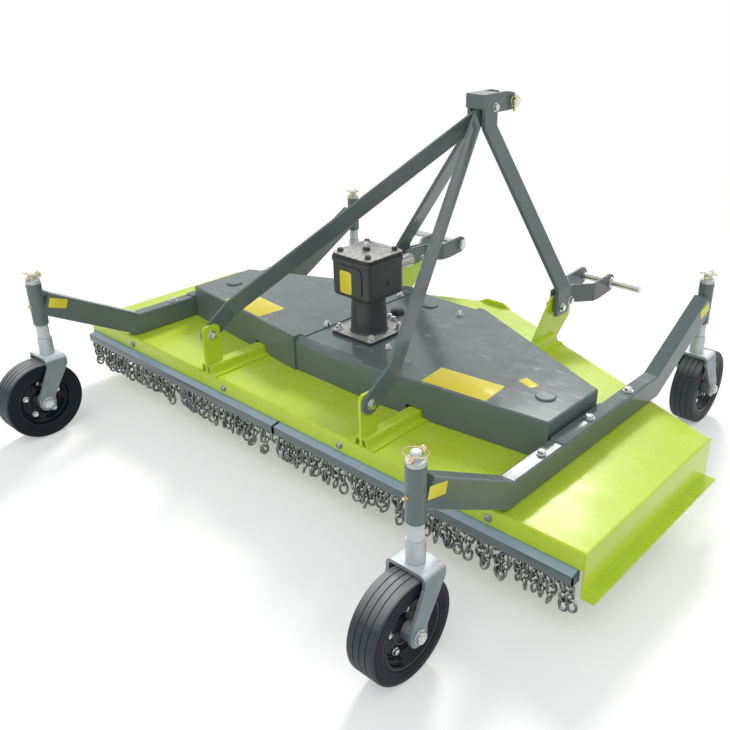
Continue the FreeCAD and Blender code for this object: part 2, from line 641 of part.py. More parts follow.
def mast_leg():
    """Right front leg of the mast, bent at both ends, with the bush beside the strut heads."""
    head_x = BRACKET_SIDE_X - LEG_PLATE / 2
    foot_x = leg_foot_x()
    path = [(head_x, LEG_HEAD), (head_x, LEG_UPPER_BEND), (foot_x, LEG_LOWER_BEND), (foot_x, LEG_FOOT)]
    bar = prism(strip(path, LEG_PLATE, LEG_PLATE), "y", LEG_REAR, LEG_FRONT)
    y, z = BRACKET_BOLT_Y, BRACKET_BOLT_Z
    bush = rod(BRACKET_BUSH_RADIUS, V(STRUT_HEAD_GAP / 2 + STRUT_PLATE + FIT, y, z),
               V(BRACKET_SIDE_X - LEG_PLATE + OVERLAP, y, z))
    head_hole = rod(LUG_BOLT, V(0, y, z), V(head_x + LEG_PLATE, y, z))
    y, z = foot_bolts()[0]
    foot_hole = rod(LUG_BOLT, V(foot_x - LEG_PLATE, y, z), V(foot_x + LEG_PLATE, y, z))
    return fuse(bar, bush).cut(foot_hole).cut(head_hole)


def top_bracket():
    """Head of the mast: a folded plate over the legs, with the two eyes for the top link's pin."""
    side = prism([
        (LEG_FRONT, TOP_PIN_Z - TOP_PIN_EYE),
        (TOP_PIN_Y + TOP_PIN_EYE, TOP_PIN_Z - TOP_PIN_EYE, TOP_PIN_EYE - 1),
        (TOP_PIN_Y + TOP_PIN_EYE, TOP_PIN_Z + TOP_PIN_EYE, TOP_PIN_EYE - 1),
        (TOP_PIN_Y - TOP_PIN_EYE, BRACKET_TOP),
        (LEG_FRONT, BRACKET_TOP),
    ], "x", BRACKET_GAP / 2, BRACKET_SIDE_X)
    rear_face = LEG_REAR - BRACKET_PLATE
    top = box(-BRACKET_SIDE_X, BRACKET_SIDE_X, rear_face, LEG_FRONT + BRACKET_PLATE,
              BRACKET_TOP - BRACKET_PLATE, BRACKET_TOP)
    rear = box(-BRACKET_SIDE_X, BRACKET_SIDE_X, rear_face, LEG_REAR,
               BRACKET_TOP - BRACKET_REAR_HEIGHT, BRACKET_TOP)
    head = fuse(top, rear, side, mirrored(side))
    pin_hole = rod(TOP_PIN_RADIUS + FIT, V(-BRACKET_SIDE_X - 1, TOP_PIN_Y, TOP_PIN_Z),
                   V(BRACKET_SIDE_X + 1, TOP_PIN_Y, TOP_PIN_Z))
    return head.cut(pin_hole)


def rear_strut():
    """Right flat-bar strut from the rear lug up to the head of the mast."""
    rise = BRACKET_BOLT_Z - REAR_BOLT_Z
    run = BRACKET_BOLT_Y - REAR_BOLT_Y
    length = math.hypot(run, rise)
    foot_x = LUG_X + LUG_PLATE / 2 + STRUT_PLATE / 2
    head_x = (STRUT_HEAD_GAP + STRUT_PLATE) / 2
    half = STRUT_WIDTH / 2
    path = [
        (foot_x, -half),
        (foot_x, STRUT_FOOT_RUN),
        (head_x, length - STRUT_HEAD_RUN),
        (head_x, length + half),
    ]
    bar = prism(strip(path, STRUT_PLATE, STRUT_PLATE), "z", -half, half)
    corner = half - 1
    shape = prism([
        (-half, -half, corner),
        (length + half, -half, corner),
        (length + half, half, corner),
        (-half, half, corner),
    ], "x", 0, foot_x + STRUT_PLATE)
    bar = bar.common(shape)
    for s in (0, length):
        bar = bar.cut(rod(LUG_BOLT, V(-1, s, 0), V(foot_x + STRUT_PLATE, s, 0)))
    bar.rotate(V(0, 0, 0), V(1, 0, 0), math.degrees(math.atan2(rise, run)))
    bar.translate(V(0, REAR_BOLT_Y, REAR_BOLT_Z))
    return bar


def top_link_pin():
    end = BRACKET_SIDE_X + TOP_PIN_OVERHANG
    head_end = -BRACKET_SIDE_X - 2 * FIT
    shank = rod(TOP_PIN_RADIUS, V(head_end, TOP_PIN_Y, TOP_PIN_Z), V(end, TOP_PIN_Y, TOP_PIN_Z))
    head = rod(TOP_PIN_RADIUS + 5, V(head_end - 9, TOP_PIN_Y, TOP_PIN_Z), V(head_end, TOP_PIN_Y, TOP_PIN_Z))
    return fuse(shank, head)


# ---- lower hitch ------------------------------------------------------------------------------------
def clevis_side_view():
    foot = LEG_FOOT + CLEVIS_FOOT
    return [
        (CLEVIS_REAR, foot, 8),
        (CLEVIS_REAR + CLEVIS_FOOT_REACH, foot - 2),
        (PIN_Y - CLEVIS_BELLY, PIN_Z - PIN_EYE - CLEVIS_BELLY_DROP),
        (PIN_Y + PIN_EYE, PIN_Z - PIN_EYE, PIN_EYE - 1),
        (PIN_Y + PIN_EYE, PIN_Z + PIN_EYE, PIN_EYE - 1),
        (PIN_Y - CLEVIS_BACK, PIN_Z + CLEVIS_BACK_RISE),
        (CLEVIS_REAR, foot + CLEVIS_FOOT_HEIGHT, 8),
    ]


def link_bracket():
    """Right clevis: a plate on each side of the lug, spread apart to hold the lower link pin."""
    plates = []
    offset = LUG_PLATE / 2 + CLEVIS_PLATE / 2
    left = LUG_X - 2 * CLEVIS_SPREAD
    right = LUG_X + 2 * CLEVIS_SPREAD
    for side in (1, -1):
        near = LUG_X + side * offset
        far = LUG_X + side * (offset + CLEVIS_SPREAD)
        path = [
            (near, CLEVIS_REAR),
            (near, MAST_Y + CLEVIS_JOGGLE_START),
            (far, MAST_Y + CLEVIS_JOGGLE_END),
            (far, PIN_Y + PIN_EYE),
        ]
        bar = prism(strip(path, CLEVIS_PLATE, CLEVIS_PLATE), "z", LEG_FOOT - LEG_WIDTH, PIN_Z + LEG_WIDTH)
        plate = bar.common(prism(clevis_side_view(), "x", left, right))
        plate = plate.cut(rod(PIN_RADIUS + FIT, V(left, PIN_Y, PIN_Z), V(right, PIN_Y, PIN_Z)))
        for y, z in foot_bolts():
            plate = plate.cut(rod(LUG_BOLT, V(left, y, z), V(right, y, z)))
        plates.append(plate)
    return Part.makeCompound(plates)


def lower_pin():
    """Right lower link pin: nut inside, shank across the clevis, collar and long tip outside."""
    inner = 2 * LUG_X - PIN_PLATE_X
    shank = rod(PIN_RADIUS, V(inner - PIN_NUT - 4, PIN_Y, PIN_Z), V(PIN_PLATE_X + PIN_REACH, PIN_Y, PIN_Z))
    tips = [edge for edge in shank.Edges if edge.BoundBox.XMin > PIN_PLATE_X]
    shank = shank.makeChamfer(2, tips)
    nut = hexagon(PIN_NUT_RADIUS, V(inner - PIN_NUT, PIN_Y, PIN_Z), V(inner, PIN_Y, PIN_Z))
    collar = rod(PIN_COLLAR_RADIUS, V(PIN_PLATE_X, PIN_Y, PIN_Z), V(PIN_PLATE_X + PIN_COLLAR, PIN_Y, PIN_Z))
    return fuse(shank, nut, collar)


# ---- caster arms and casters --------------------------------------------------------------------------
def caster_arm():
    """Right arm: a rectangular tube bent up at both ends to a caster sleeve."""
    slope = (ARM_HEAD_Z - ARM_MIDDLE_Z) / (STEM_Y - ARM_FLAT_HALF)
    short = SLEEVE_RADIUS * 0.7
    head_y = STEM_Y - short
    head_z = ARM_HEAD_Z - short * slope
    path = [
        (-head_y, head_z),
        (-ARM_FLAT_HALF, ARM_MIDDLE_Z),
        (ARM_FLAT_HALF, ARM_MIDDLE_Z),
        (head_y, head_z),
    ]
    tube = prism(strip(path, ARM_HEIGHT), "x", STEM_X - ARM_WIDTH / 2, STEM_X + ARM_WIDTH / 2)
    long_edges = []
    for edge in tube.Edges:
        bounds = edge.BoundBox
        if bounds.XMax - bounds.XMin < 1 and bounds.YMax - bounds.YMin > ARM_HEIGHT:
            long_edges.append(edge)
    tube = tube.makeFillet(ARM_CORNER, long_edges)
    sleeves = []
    bores = []
    for y in (-STEM_Y, STEM_Y):
        sleeves.append(rod(SLEEVE_RADIUS, V(STEM_X, y, SLEEVE_BOTTOM), V(STEM_X, y, SLEEVE_TOP)))
        bores.append(rod(STEM_RADIUS + FIT, V(STEM_X, y, SLEEVE_BOTTOM - 60), V(STEM_X, y, SLEEVE_TOP + 60)))
    return fuse(tube, *sleeves).cut(bores[0]).cut(bores[1])


def fork(side, end):
    """Caster fork with its stem, washers and axle bolt; side and end are the signs of X and Y."""
    x = side * STEM_X
    y = end * STEM_Y
    axle_y = y + end * TRAIL
    half = (FORK_WIDTH - FORK_PLATE) / 2
    crown_z = FORK_TOP - FORK_PLATE / 2
    foot_z = WHEEL_RADIUS - FORK_EYE
    path = [(x - half, foot_z), (x - half, crown_z), (x + half, crown_z), (x + half, foot_z)]
    bar = prism(strip(path, FORK_PLATE, FORK_BEND - FORK_PLATE), "y", y - 100, y + 100)
    waist = FORK_TOP - FORK_SHOULDER
    side_view = prism([
        (y - end * FORK_CROWN_HALF, FORK_TOP),
        (y - end * FORK_CROWN_HALF, waist, FORK_WAIST_ROUND),
        (axle_y - end * FORK_EYE, WHEEL_RADIUS + 14, FORK_WAIST_ROUND),
        (axle_y - end * FORK_EYE, foot_z, FORK_EYE - 1),
        (axle_y + end * FORK_EYE, foot_z, FORK_EYE - 1),
        (axle_y + end * FORK_EYE, WHEEL_RADIUS + 14, FORK_WAIST_ROUND),
        (y + end * FORK_CROWN_HALF, waist, FORK_WAIST_ROUND),
        (y + end * FORK_CROWN_HALF, FORK_TOP),
    ], "x", x - FORK_WIDTH, x + FORK_WIDTH)
    body = bar.common(side_view)
    outer = FORK_WIDTH / 2
    axle = rod(AXLE_RADIUS, V(x - outer, axle_y, WHEEL_RADIUS), V(x + outer, axle_y, WHEEL_RADIUS))
    nuts = []
    for sign in (-1, 1):
        nuts.append(hexagon(AXLE_NUT_RADIUS, V(x + sign * (outer - OVERLAP), axle_y, WHEEL_RADIUS),
                            V(x + sign * (outer + AXLE_NUT), axle_y, WHEEL_RADIUS)))
    return fuse(body, axle, stem(x, y), *nuts)


def stem(x, y):
    """Stem with its collar, the washers under the sleeve and the washer above it."""
    collar_top = FORK_TOP + COLLAR_HEIGHT
    profile = [(0, FORK_TOP - OVERLAP), (COLLAR_RADIUS, FORK_TOP - OVERLAP), (COLLAR_RADIUS, collar_top)]
    pitch = (SLEEVE_BOTTOM - SEAT - collar_top) / SPACERS
    for k in range(SPACERS):
        z = collar_top + k * pitch
        profile += [(SPACER_RADIUS - SPACER_GROOVE, z), (SPACER_RADIUS, z + pitch / 2),
                    (SPACER_RADIUS - SPACER_GROOVE, z + pitch)]
    washer = SLEEVE_TOP + SEAT
    profile = [p for i, p in enumerate(profile) if i == 0 or p != profile[i - 1]]
    profile += [
        (STEM_RADIUS, SLEEVE_BOTTOM - SEAT), (STEM_RADIUS, washer), (STEM_WASHER_RADIUS, washer),
        (STEM_WASHER_RADIUS, washer + STEM_WASHER), (STEM_TIP_RADIUS, washer + STEM_WASHER),
        (STEM_TIP_RADIUS, SLEEVE_TOP + STEM_ABOVE - 3), (STEM_TIP_RADIUS - 3, SLEEVE_TOP + STEM_ABOVE),
        (0, SLEEVE_TOP + STEM_ABOVE),
    ]
    return revolve(profile, V(x, y, 0), V(0, 0, 1), V(1, 0, 0))


def wheel_centre(side, end):
    return V(side * STEM_X, end * (STEM_Y + TRAIL), WHEEL_RADIUS)


def tyre(side, end):
    """Solid rubber tyre with a rounded tread."""
    w = TYRE_HALF_WIDTH
    r = WHEEL_RADIUS
    half = [(RIM_RADIUS + FIT, w - 7), (RIM_RADIUS + 10, w - 1), (r - 16, w), (r - 4, w - 7), (r, w - 13)]
    profile = half + [(radius, -distance) for radius, distance in half[::-1]]
    return revolve(profile, wheel_centre(side, end), V(1, 0, 0), V(0, 0, 1))


def rim(side, end):
    """Pressed rim: two dished halves on a hub tube."""
    hub_end = FORK_WIDTH / 2 - FORK_PLATE - SEAT
    w = TYRE_HALF_WIDTH
    half = [
        (AXLE_RADIUS + FIT, hub_end), (HUB_RADIUS, hub_end), (HUB_RADIUS, w - 20), (RIM_RADIUS - 22, w - 23),
        (RIM_RADIUS - 7, w - 19), (RIM_RADIUS - 3, w - 8), (RIM_RADIUS, w - 8),
    ]
    profile = half + [(radius, -distance) for radius, distance in half[::-1]]
    return revolve(profile, wheel_centre(side, end), V(1, 0, 0), V(0, 0, 1))


# ---- blade spindles ---------------------------------------------------------------------------------
def spindle_housing(x, y):
    """Bearing housing bolted under the deck."""
    bottom = DECK_UNDER - SPINDLE_DROP
    flange = DECK_UNDER - SPINDLE_FLANGE
    top = DECK_TOP + SPINDLE_RISE
    bore = BLADE_SHAFT_RADIUS + FIT
    return revolve([
        (bore, bottom),
        (SPINDLE_RADIUS - SPINDLE_TAPER, bottom),
        (SPINDLE_RADIUS, flange - 2 * SPINDLE_TAPER),
        (SPINDLE_FLANGE_RADIUS, flange),
        (SPINDLE_FLANGE_RADIUS, DECK_UNDER),
        (SPINDLE_RADIUS, DECK_UNDER),
        (SPINDLE_RADIUS, top),
        (bore, top),
    ], V(x, y, 0), V(0, 0, 1), V(1, 0, 0))


def blade_tip():
    """Upturned trailing edge of the blade's right end."""
    half = BLADE_WIDTH / 2
    top = BLADE_BOTTOM + BLADE_PLATE
    return prism([
        (half - BLADE_WING_DEPTH, BLADE_BOTTOM),
        (half, BLADE_BOTTOM + BLADE_WING_RISE),
        (half, top + BLADE_WING_RISE),
        (half - BLADE_WING_DEPTH, top),
    ], "x", BLADE_RADIUS - BLADE_WING, BLADE_RADIUS)


def blade(x, y):
    """Blade with upturned trailing tips on its shaft, held by a nut from below."""
    half = BLADE_WIDTH / 2
    top = BLADE_BOTTOM + BLADE_PLATE
    bar = box(-BLADE_RADIUS, BLADE_RADIUS, -half, half, BLADE_BOTTOM, top)
    room = box(BLADE_RADIUS - BLADE_WING, BLADE_RADIUS, half - BLADE_WING_DEPTH, half, BLADE_BOTTOM, top)
    tip = blade_tip()
    for turn in (0, 180):
        bar = bar.cut(turned(room, turn)).fuse(turned(tip, turn))
    disc = rod(BLADE_RADIUS, V(0, 0, BLADE_BOTTOM), V(0, 0, top + BLADE_WING_RISE))
    shaft_top = DECK_TOP + SPINDLE_RISE + BLADE_SHAFT_ABOVE
    shaft = rod(BLADE_SHAFT_RADIUS, V(0, 0, BLADE_BOTTOM), V(0, 0, shaft_top))
    boss = rod(BLADE_BOSS_RADIUS, V(0, 0, top - OVERLAP), V(0, 0, DECK_UNDER - SPINDLE_DROP - SEAT))
    nut = hexagon(BLADE_NUT_RADIUS, V(0, 0, BLADE_BOTTOM - BLADE_NUT), V(0, 0, BLADE_BOTTOM + OVERLAP))
    rotor = fuse(bar.common(disc), shaft, boss, nut)
    rotor.translate(V(x, y, 0))
    return rotor


# ---- assembly ---------------------------------------------------------------------------------------
def build():
    """Every node of the mower by name."""
    nodes = {
        "deck": deck(),
        "gearbox_stand": gearbox_stand(),
        "gearbox_housing": gearbox_housing(),
        "gearbox_cap": gearbox_cap(),
        "input_shaft": input_shaft(),
        "top_bracket": top_bracket(),
        "top_link_pin": top_link_pin(),
    }
    paired = {
        "side_skirt": side_skirt,
        "deck_channel": deck_channel,
        "chain_rail": chain_rail,
        "chains": chains,
        "belt_cover": belt_cover,
        "mast_leg": mast_leg,
        "rear_strut": rear_strut,
        "link_bracket": link_bracket,
        "lower_pin": lower_pin,
        "caster_arm": caster_arm,
    }
    for name, make in paired.items():
        shape = make()
        nodes[name + "_right"] = shape
        nodes[name + "_left"] = mirrored(shape)
    for name, (x, y) in SPINDLES.items():
        nodes["spindle_housing_" + name] = spindle_housing(x, y)
        nodes["blade_" + name] = blade(x, y)
    for end_name, end in (("front", 1), ("rear", -1)):
        for side_name, side in (("left", -1), ("right", 1)):
            corner = "_" + end_name + "_" + side_name
            nodes["fork" + corner] = fork(side, end)
            nodes["tyre" + corner] = tyre(side, end)
            nodes["rim" + corner] = rim(side, end)
    return nodes


os.makedirs("parts", exist_ok=True)
for node, shape in build().items():
    shape.exportStep("parts/" + node + ".step")
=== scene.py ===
"""Looks of a finishing mower: paint, castings, hanging chains, casters, fasteners and blank labels.

Metres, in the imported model's frame: +X is the machine's right, +Y is forward and +Z is up.
"""
import json
import math
import random

import bmesh
import bpy
from mathutils import Matrix, Vector


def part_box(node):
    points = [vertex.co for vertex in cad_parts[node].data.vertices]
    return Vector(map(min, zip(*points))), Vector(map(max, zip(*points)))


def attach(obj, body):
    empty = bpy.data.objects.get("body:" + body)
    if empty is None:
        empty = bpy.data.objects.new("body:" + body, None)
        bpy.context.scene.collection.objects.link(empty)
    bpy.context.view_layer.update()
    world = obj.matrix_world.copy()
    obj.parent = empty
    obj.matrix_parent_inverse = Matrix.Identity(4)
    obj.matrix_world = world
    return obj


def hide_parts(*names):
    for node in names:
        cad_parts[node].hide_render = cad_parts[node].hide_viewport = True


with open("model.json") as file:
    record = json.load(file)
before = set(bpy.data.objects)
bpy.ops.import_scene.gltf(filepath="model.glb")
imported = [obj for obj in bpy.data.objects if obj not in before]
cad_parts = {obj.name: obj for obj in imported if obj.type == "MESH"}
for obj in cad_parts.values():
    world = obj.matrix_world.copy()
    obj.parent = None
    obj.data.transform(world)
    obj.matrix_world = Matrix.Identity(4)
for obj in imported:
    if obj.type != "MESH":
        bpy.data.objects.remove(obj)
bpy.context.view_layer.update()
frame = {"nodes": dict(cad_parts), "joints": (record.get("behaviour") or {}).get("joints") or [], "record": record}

UP = Vector((0, 0, 1))
SIDES = {"left": -1, "right": 1}
ENDS = {"rear": -1, "front": 1}
CORNERS = [end + "_" + side for end in ENDS for side in SIDES]


# ---- places read from the frame -------------------------------------------------------------
# Lowest corner, highest corner and middle of the box round a node.
def low(node):
    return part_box(node)[0]


def high(node):
    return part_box(node)[1]


def middle(node):
    return (low(node) + high(node)) / 2


JOINT_AT = {joint["name"]: Vector(joint["pos_m"]) for joint in frame["joints"]}
DECK_TOP = high("side_skirt_right").z
DECK_REAR = low("deck").y
LIP_FOOT = low("deck").z
COVER_CAP = 0.005            # the round spindle caps stand this much above the covers
COVER_TOP = high("belt_cover_right").z - COVER_CAP
STAND_TOP = high("gearbox_stand").z - COVER_CAP
LUG_X = middle("deck_channel_right").x
BOX_HALF = high("gearbox_cap").x
BOX_Y = middle("gearbox_cap").y
LID_TOP = high("gearbox_cap").z
SHAFT_Z = middle("input_shaft").z
ARM_X = middle("caster_arm_right").x
ARM_HALF = high("caster_arm_right").x - ARM_X
LEG_OUTSIDE = high("mast_leg_right").x
HEAD_TOP = high("top_bracket").z
TOP_PIN = middle("top_link_pin")

# ---- sizes of what is added -----------------------------------------------------------------
LINK_WIRE = 0.0068
LINK_WIDTH = 0.0245
LINK_LENGTH = 0.034
LINKS_PER_STRAND = 4
STRAND_PITCH = 0.0195
CURTAIN_SEED = 5
RAIL_FOOT = LIP_FOOT - 0.0285
RAIL_DEPTH = 0.0215          # behind the deck
RAIL_FOLD = 0.0225           # fold between its top and its rear face, above its foot
RAIL_SHEET = 0.003
RAIL_HEM = 0.003             # end plates
RAIL_SEAM = 0.0018           # where its top meets the deck, below the lip's lower edge
RAIL_FLANGE = 0.029          # bolting flange inside the lip, above the lip's lower edge
FLANGE_INSET = 0.004         # the flange's rear face, inside the deck's edge
INNER_SEAM = 0.004           # inner corners of the sheet, below the lip and below the fold
INNER_FOLD = 0.0026
ROD = (0.0105, 0.01, 0.003)  # chain rod behind the deck's edge, above the rail's foot, and its radius
RAIL_BOLT_X = (-0.66, -0.222, 0.222, 0.66)
RAIL_BOLT_DROP = 0.023       # below the deck's top
M8_HEAD = (0.013, 0.0053)    # across flats and height
M10_HEAD = (0.016, 0.0064)
M12_HEAD = (0.018, 0.0075)
LID_BOLT = (0.0145, 0.0085)
RIM_BOLT = (0.0115, 0.0055)
PLUG_HEAD = (0.009, 0.004)
WASHER = 0.0018
LUG_HALF = 0.004             # half of the thickness of each hitch lug
PLATE = 0.008                # clevis plates and struts
LUG_BOLT_Z = 0.308
GEARBOX_PANEL = 0.003        # the raised panel on the gearbox's rear face
CAP_BOLT_CIRCLE = 0.031
ARM_TUBE = 0.063             # height of the arms' tube
ARM_SHEET = 0.0028           # loose plate on the arms
ARM_SHEET_LENGTH = 0.222
FORK_HALF = 0.048            # half of the forks' width
CROWN_TOP = 0.2305           # just above the forks' crown; galvanised steel above it gets a painted highlight
TYRE_RADIUS = 0.108
TYRE_HALF = 0.035            # half of the tyre's width
SHOULDER = 0.0075
GROOVES = (-0.015, 0.0, 0.015)
RIM_SEAT = 0.0695
RIM_FACE = 0.0122            # outer face of the rim's dish, from the wheel's middle plane
BOLT_CIRCLE = 0.0465
CLIP_WIRE = 0.0026
CLIP_RING = 0.034            # ring of the top link's pin
STEM_RING = 0.0495
LABEL_SHEET = 0.0004
LARGE_LABEL = (0.181, 0.09)
SMALL_LABEL = (0.049, 0.027)
ARM_LABEL = (0.0515, 0.0265)
GEARBOX_LABEL = (0.042, 0.062)
SKY = 0.5
KEY_WAY = (-0.425, 0.713, 0.558)  # towards the key lamp
FLOOR_SIZE = 30
FLOOR_LIFT = 0.3             # glow of the floor as it is seen
FADE = (1.3, 2.6)            # where the floor turns into the white surround


# ---- materials ------------------------------------------------------------------------------
def node(tree, kind, inputs=None, **attributes):
    """Shader node with its attributes set and its sockets filled or linked."""
    made = tree.nodes.new("ShaderNode" + kind)
    for name, value in attributes.items():
        setattr(made, name, value)
    for name, value in (inputs or {}).items():
        if isinstance(value, bpy.types.NodeSocket):
            tree.links.new(value, made.inputs[name])
        else:
            made.inputs[name].default_value = value
    return made


def rgba(colour):
    return (colour[0], colour[1], colour[2], 1.0)


class Finish:
    """A principled material in the making, with its patterns on object coordinates."""

    def __init__(self, name, **shader_values):
        self.material = bpy.data.materials.new(name)
        self.material.use_nodes = True
        self.tree = self.material.node_tree
        self.shader = self.tree.nodes["Principled BSDF"]
        self.place = self.add("TexCoord").outputs["Object"]
        for socket, value in shader_values.items():
            self.set(socket.replace("_", " "), value)

    def add(self, kind, inputs=None, **attributes):
        return node(self.tree, kind, inputs, **attributes)

    def set(self, socket, value):
        if isinstance(value, bpy.types.NodeSocket):
            self.tree.links.new(value, self.shader.inputs[socket])
        else:
            self.shader.inputs[socket].default_value = value

    def noise(self, scale, detail=3.0, rough=0.55, stretch=(1, 1, 1)):
        place = self.place
        if stretch != (1, 1, 1):
            place = self.add("Mapping", {"Vector": place, "Scale": stretch}).outputs["Vector"]
        made = self.add("TexNoise", {"Vector": place, "Scale": scale, "Detail": detail, "Roughness": rough})
        return made.outputs[0]

    def spread(self, value, lowest, highest, start=0.0, end=1.0):
        """Value from start..end carried to lowest..highest, clamped."""
        made = self.add("MapRange", {"Value": value, "From Min": start, "From Max": end,
                                     "To Min": lowest, "To Max": highest})
        return made.outputs["Result"]

    def mix(self, factor, first, second):
        """Colour between two colours or colour sockets."""
        inputs = {"Fac": factor}
        for name, colour in (("Color1", first), ("Color2", second)):
            inputs[name] = colour if isinstance(colour, bpy.types.NodeSocket) else rgba(colour)
        return self.add("MixRGB", inputs).outputs["Color"]

    def math(self, operation, first, second=0.0):
        made = self.add("Math", operation=operation)
        for socket, value in zip(made.inputs, (first, second)):
            if isinstance(value, bpy.types.NodeSocket):
                self.tree.links.new(value, socket)
            else:
                socket.default_value = value
        return made.outputs["Value"]

    def upward(self, start, end):
        """Zero to one as the surface turns up, between two rises of its normal."""
        normal = self.add("NewGeometry").outputs["Normal"]
        rise = self.add("SeparateXYZ", {"Vector": normal}).outputs["Z"]
        return self.spread(rise, 0.0, 1.0, start, end)

    def height(self, start, end):
        """Zero at the start height, one at the end."""
        rise = self.add("SeparateXYZ", {"Vector": self.place}).outputs["Z"]
        return self.spread(rise, 0.0, 1.0, start, end)

    def bump(self, *layers, edge=0.0):
        """Layers of (height, distance in metres), the finest last, over edges eased by a radius."""
        normal = self.add("Bevel", {"Radius": edge}, samples=4).outputs["Normal"] if edge else None
        for value, distance in layers:
            inputs = {"Height": value, "Distance": distance, "Strength": 1.0}
            if normal is not None:
                inputs["Normal"] = normal
            normal = self.add("Bump", inputs).outputs["Normal"]
        self.set("Normal", normal)


def paint(name, colour, shade, dust, film, gloss, scuffs=0.0, shine=0.5, painted_sky=None):
    """Sprayed enamel: clouded tint and gloss, dust, smudges and, when given, a painted sky reflection in a pale
    colour on what faces up.
    """
    finish = Finish(name, Coat_Weight=0.12, Coat_Roughness=0.07, Specular_IOR_Level=shine)
    clouds = finish.noise(5.0, 4.0)
    tint = finish.mix(finish.spread(clouds, 0.0, 1.0, 0.35, 0.7), colour, shade)
    # Painted reflection: faces that turn up are mixed towards a pale sky colour.
    if painted_sky:
        painted_sky_mask = finish.math("MULTIPLY", finish.upward(0.3, 0.9), finish.spread(clouds, 1.0, 0.8))
        tint = finish.mix(painted_sky_mask, tint, painted_sky)
    up = finish.upward(0.3, 1.0)
    dusty = finish.math("MULTIPLY", up, finish.spread(finish.noise(14.0, 6.0, 0.7), 0.0, film, 0.45, 0.8))
    marks = finish.spread(finish.noise(15.0, 4.0, 0.55, (1.0, 2.6, 1.0)), 0.0, scuffs, 0.58, 0.74)
    marks = finish.math("MULTIPLY", up, marks)
    finish.set("Base Color", finish.mix(marks, finish.mix(dusty, tint, dust), SMUDGE))
    smears = finish.spread(finish.noise(9.0, 5.0, 0.6, (1, 3, 1)), gloss - 0.04, gloss + 0.06, 0.3, 0.75)
    finish.set("Roughness", finish.math("ADD", smears, finish.math("MAXIMUM", dusty, marks)))
    finish.bump((finish.noise(3.0, 2.0), 0.0009), (finish.noise(60.0, 2.0), 0.000012), edge=0.0018)
    return finish.material


def casting(name, colour, shade, dust_and_glint_below=None):
    """Satin paint over sand-cast iron, with pale patches on the flats under a height: partly dust, partly a
    painted glint.
    """
    finish = Finish(name, Coat_Weight=0.2, Coat_Roughness=0.22)
    tint = finish.mix(finish.noise(22.0, 4.0), colour, shade)
    # Pale patches on the upward flats: partly dust, partly a painted glint on the gearbox's foot.
    if dust_and_glint_below:
        below = finish.height(dust_and_glint_below + 0.002, dust_and_glint_below)
        flat = finish.math("MULTIPLY", finish.upward(0.7, 0.95), below)
        patches = finish.spread(finish.noise(40.0, 5.0, 0.6), 0.45, 1.0, 0.35, 0.6)
        tint = finish.mix(finish.math("MULTIPLY", flat, patches), tint, IRON_DUST_AND_GLINT)
    finish.set("Base Color", tint)
    finish.set("Roughness", finish.spread(finish.noise(60.0, 4.0), 0.34, 0.5, 0.3, 0.7))
    finish.bump((finish.noise(90.0, 3.0), 0.00012), (finish.noise(500.0, 3.0, 0.6), 0.00003))
    return finish.material


def plated(name, bright, dull, roughness, spangle, stain=0.35, metal=1.0, pale_tone=None, painted_highlight_above=None):
    """Zinc on steel: crystals, clouded gloss, a painted highlight in a pale tone on what faces up, and a painted
    highlight above a height.
    """
    finish = Finish(name, Metallic=metal)
    crystals = finish.add("TexVoronoi", {"Vector": finish.place, "Scale": spangle}, feature="F1")
    patch = finish.add("SeparateColor", {"Color": crystals.outputs["Color"]}).outputs["Red"]
    clouds = finish.noise(35.0, 5.0, 0.65)
    cloudy = finish.spread(clouds, 0.0, 1.0, 0.35, 0.75)
    tint = finish.mix(finish.math("MAXIMUM", cloudy, finish.spread(patch, 0.0, stain)), bright, dull)
    # Painted highlight: faces that turn up are mixed towards the pale tone.
    if pale_tone:
        thin = finish.spread(clouds, 1.0, 0.75, 0.35, 0.75)
        tint = finish.mix(finish.math("MULTIPLY", finish.upward(0.35, 0.95), thin), tint, pale_tone)
    # Painted highlight: everything above the given height is mixed part way towards the pale tone.
    if painted_highlight_above:
        above = finish.height(painted_highlight_above, painted_highlight_above + 0.001)
        tint = finish.mix(finish.math("MULTIPLY", above, 0.42), tint, pale_tone)
    finish.set("Base Color", tint)
    finish.set("Roughness", finish.spread(clouds, roughness - 0.06, roughness + 0.1, 0.3, 0.7))
    finish.bump((finish.noise(240.0, 3.0), 0.00002), (finish.noise(30.0, 3.0), 0.00015))
    return finish.material


def machined(name, bright, dull, roughness):
    """Bare steel with fine lines along Y."""
    finish = Finish(name, Metallic=1.0)
    lines = finish.noise(1.0, 4.0, 0.6, (400, 20, 400))
    finish.set("Base Color", finish.mix(finish.noise(30.0, 4.0), bright, dull))
    finish.set("Roughness", finish.spread(lines, roughness - 0.05, roughness + 0.1, 0.3, 0.7))
    finish.bump((lines, 0.00001))
    return finish.material


def rubber(name, colour, pale_tone, roughness, dust=None):
    """Solid rubber, clouded by its grey bloom, with pale dust on what faces up."""
    finish = Finish(name, Specular_IOR_Level=0.15)
    clouds = finish.noise(18.0, 5.0, 0.65)
    tint = finish.mix(finish.spread(clouds, 0.0, 1.0, 0.35, 0.7), colour, pale_tone)
    if dust:
        dusty = finish.math("MULTIPLY", finish.upward(0.55, 0.95), finish.spread(clouds, 1.0, 0.7))
        tint = finish.mix(dusty, tint, dust)
    finish.set("Base Color", tint)
    finish.set("Roughness", finish.spread(clouds, roughness - 0.08, roughness + 0.1, 0.3, 0.7))
    finish.bump((finish.noise(160.0, 3.0), 0.00006), (finish.noise(900.0, 2.0), 0.00001))
    return finish.material


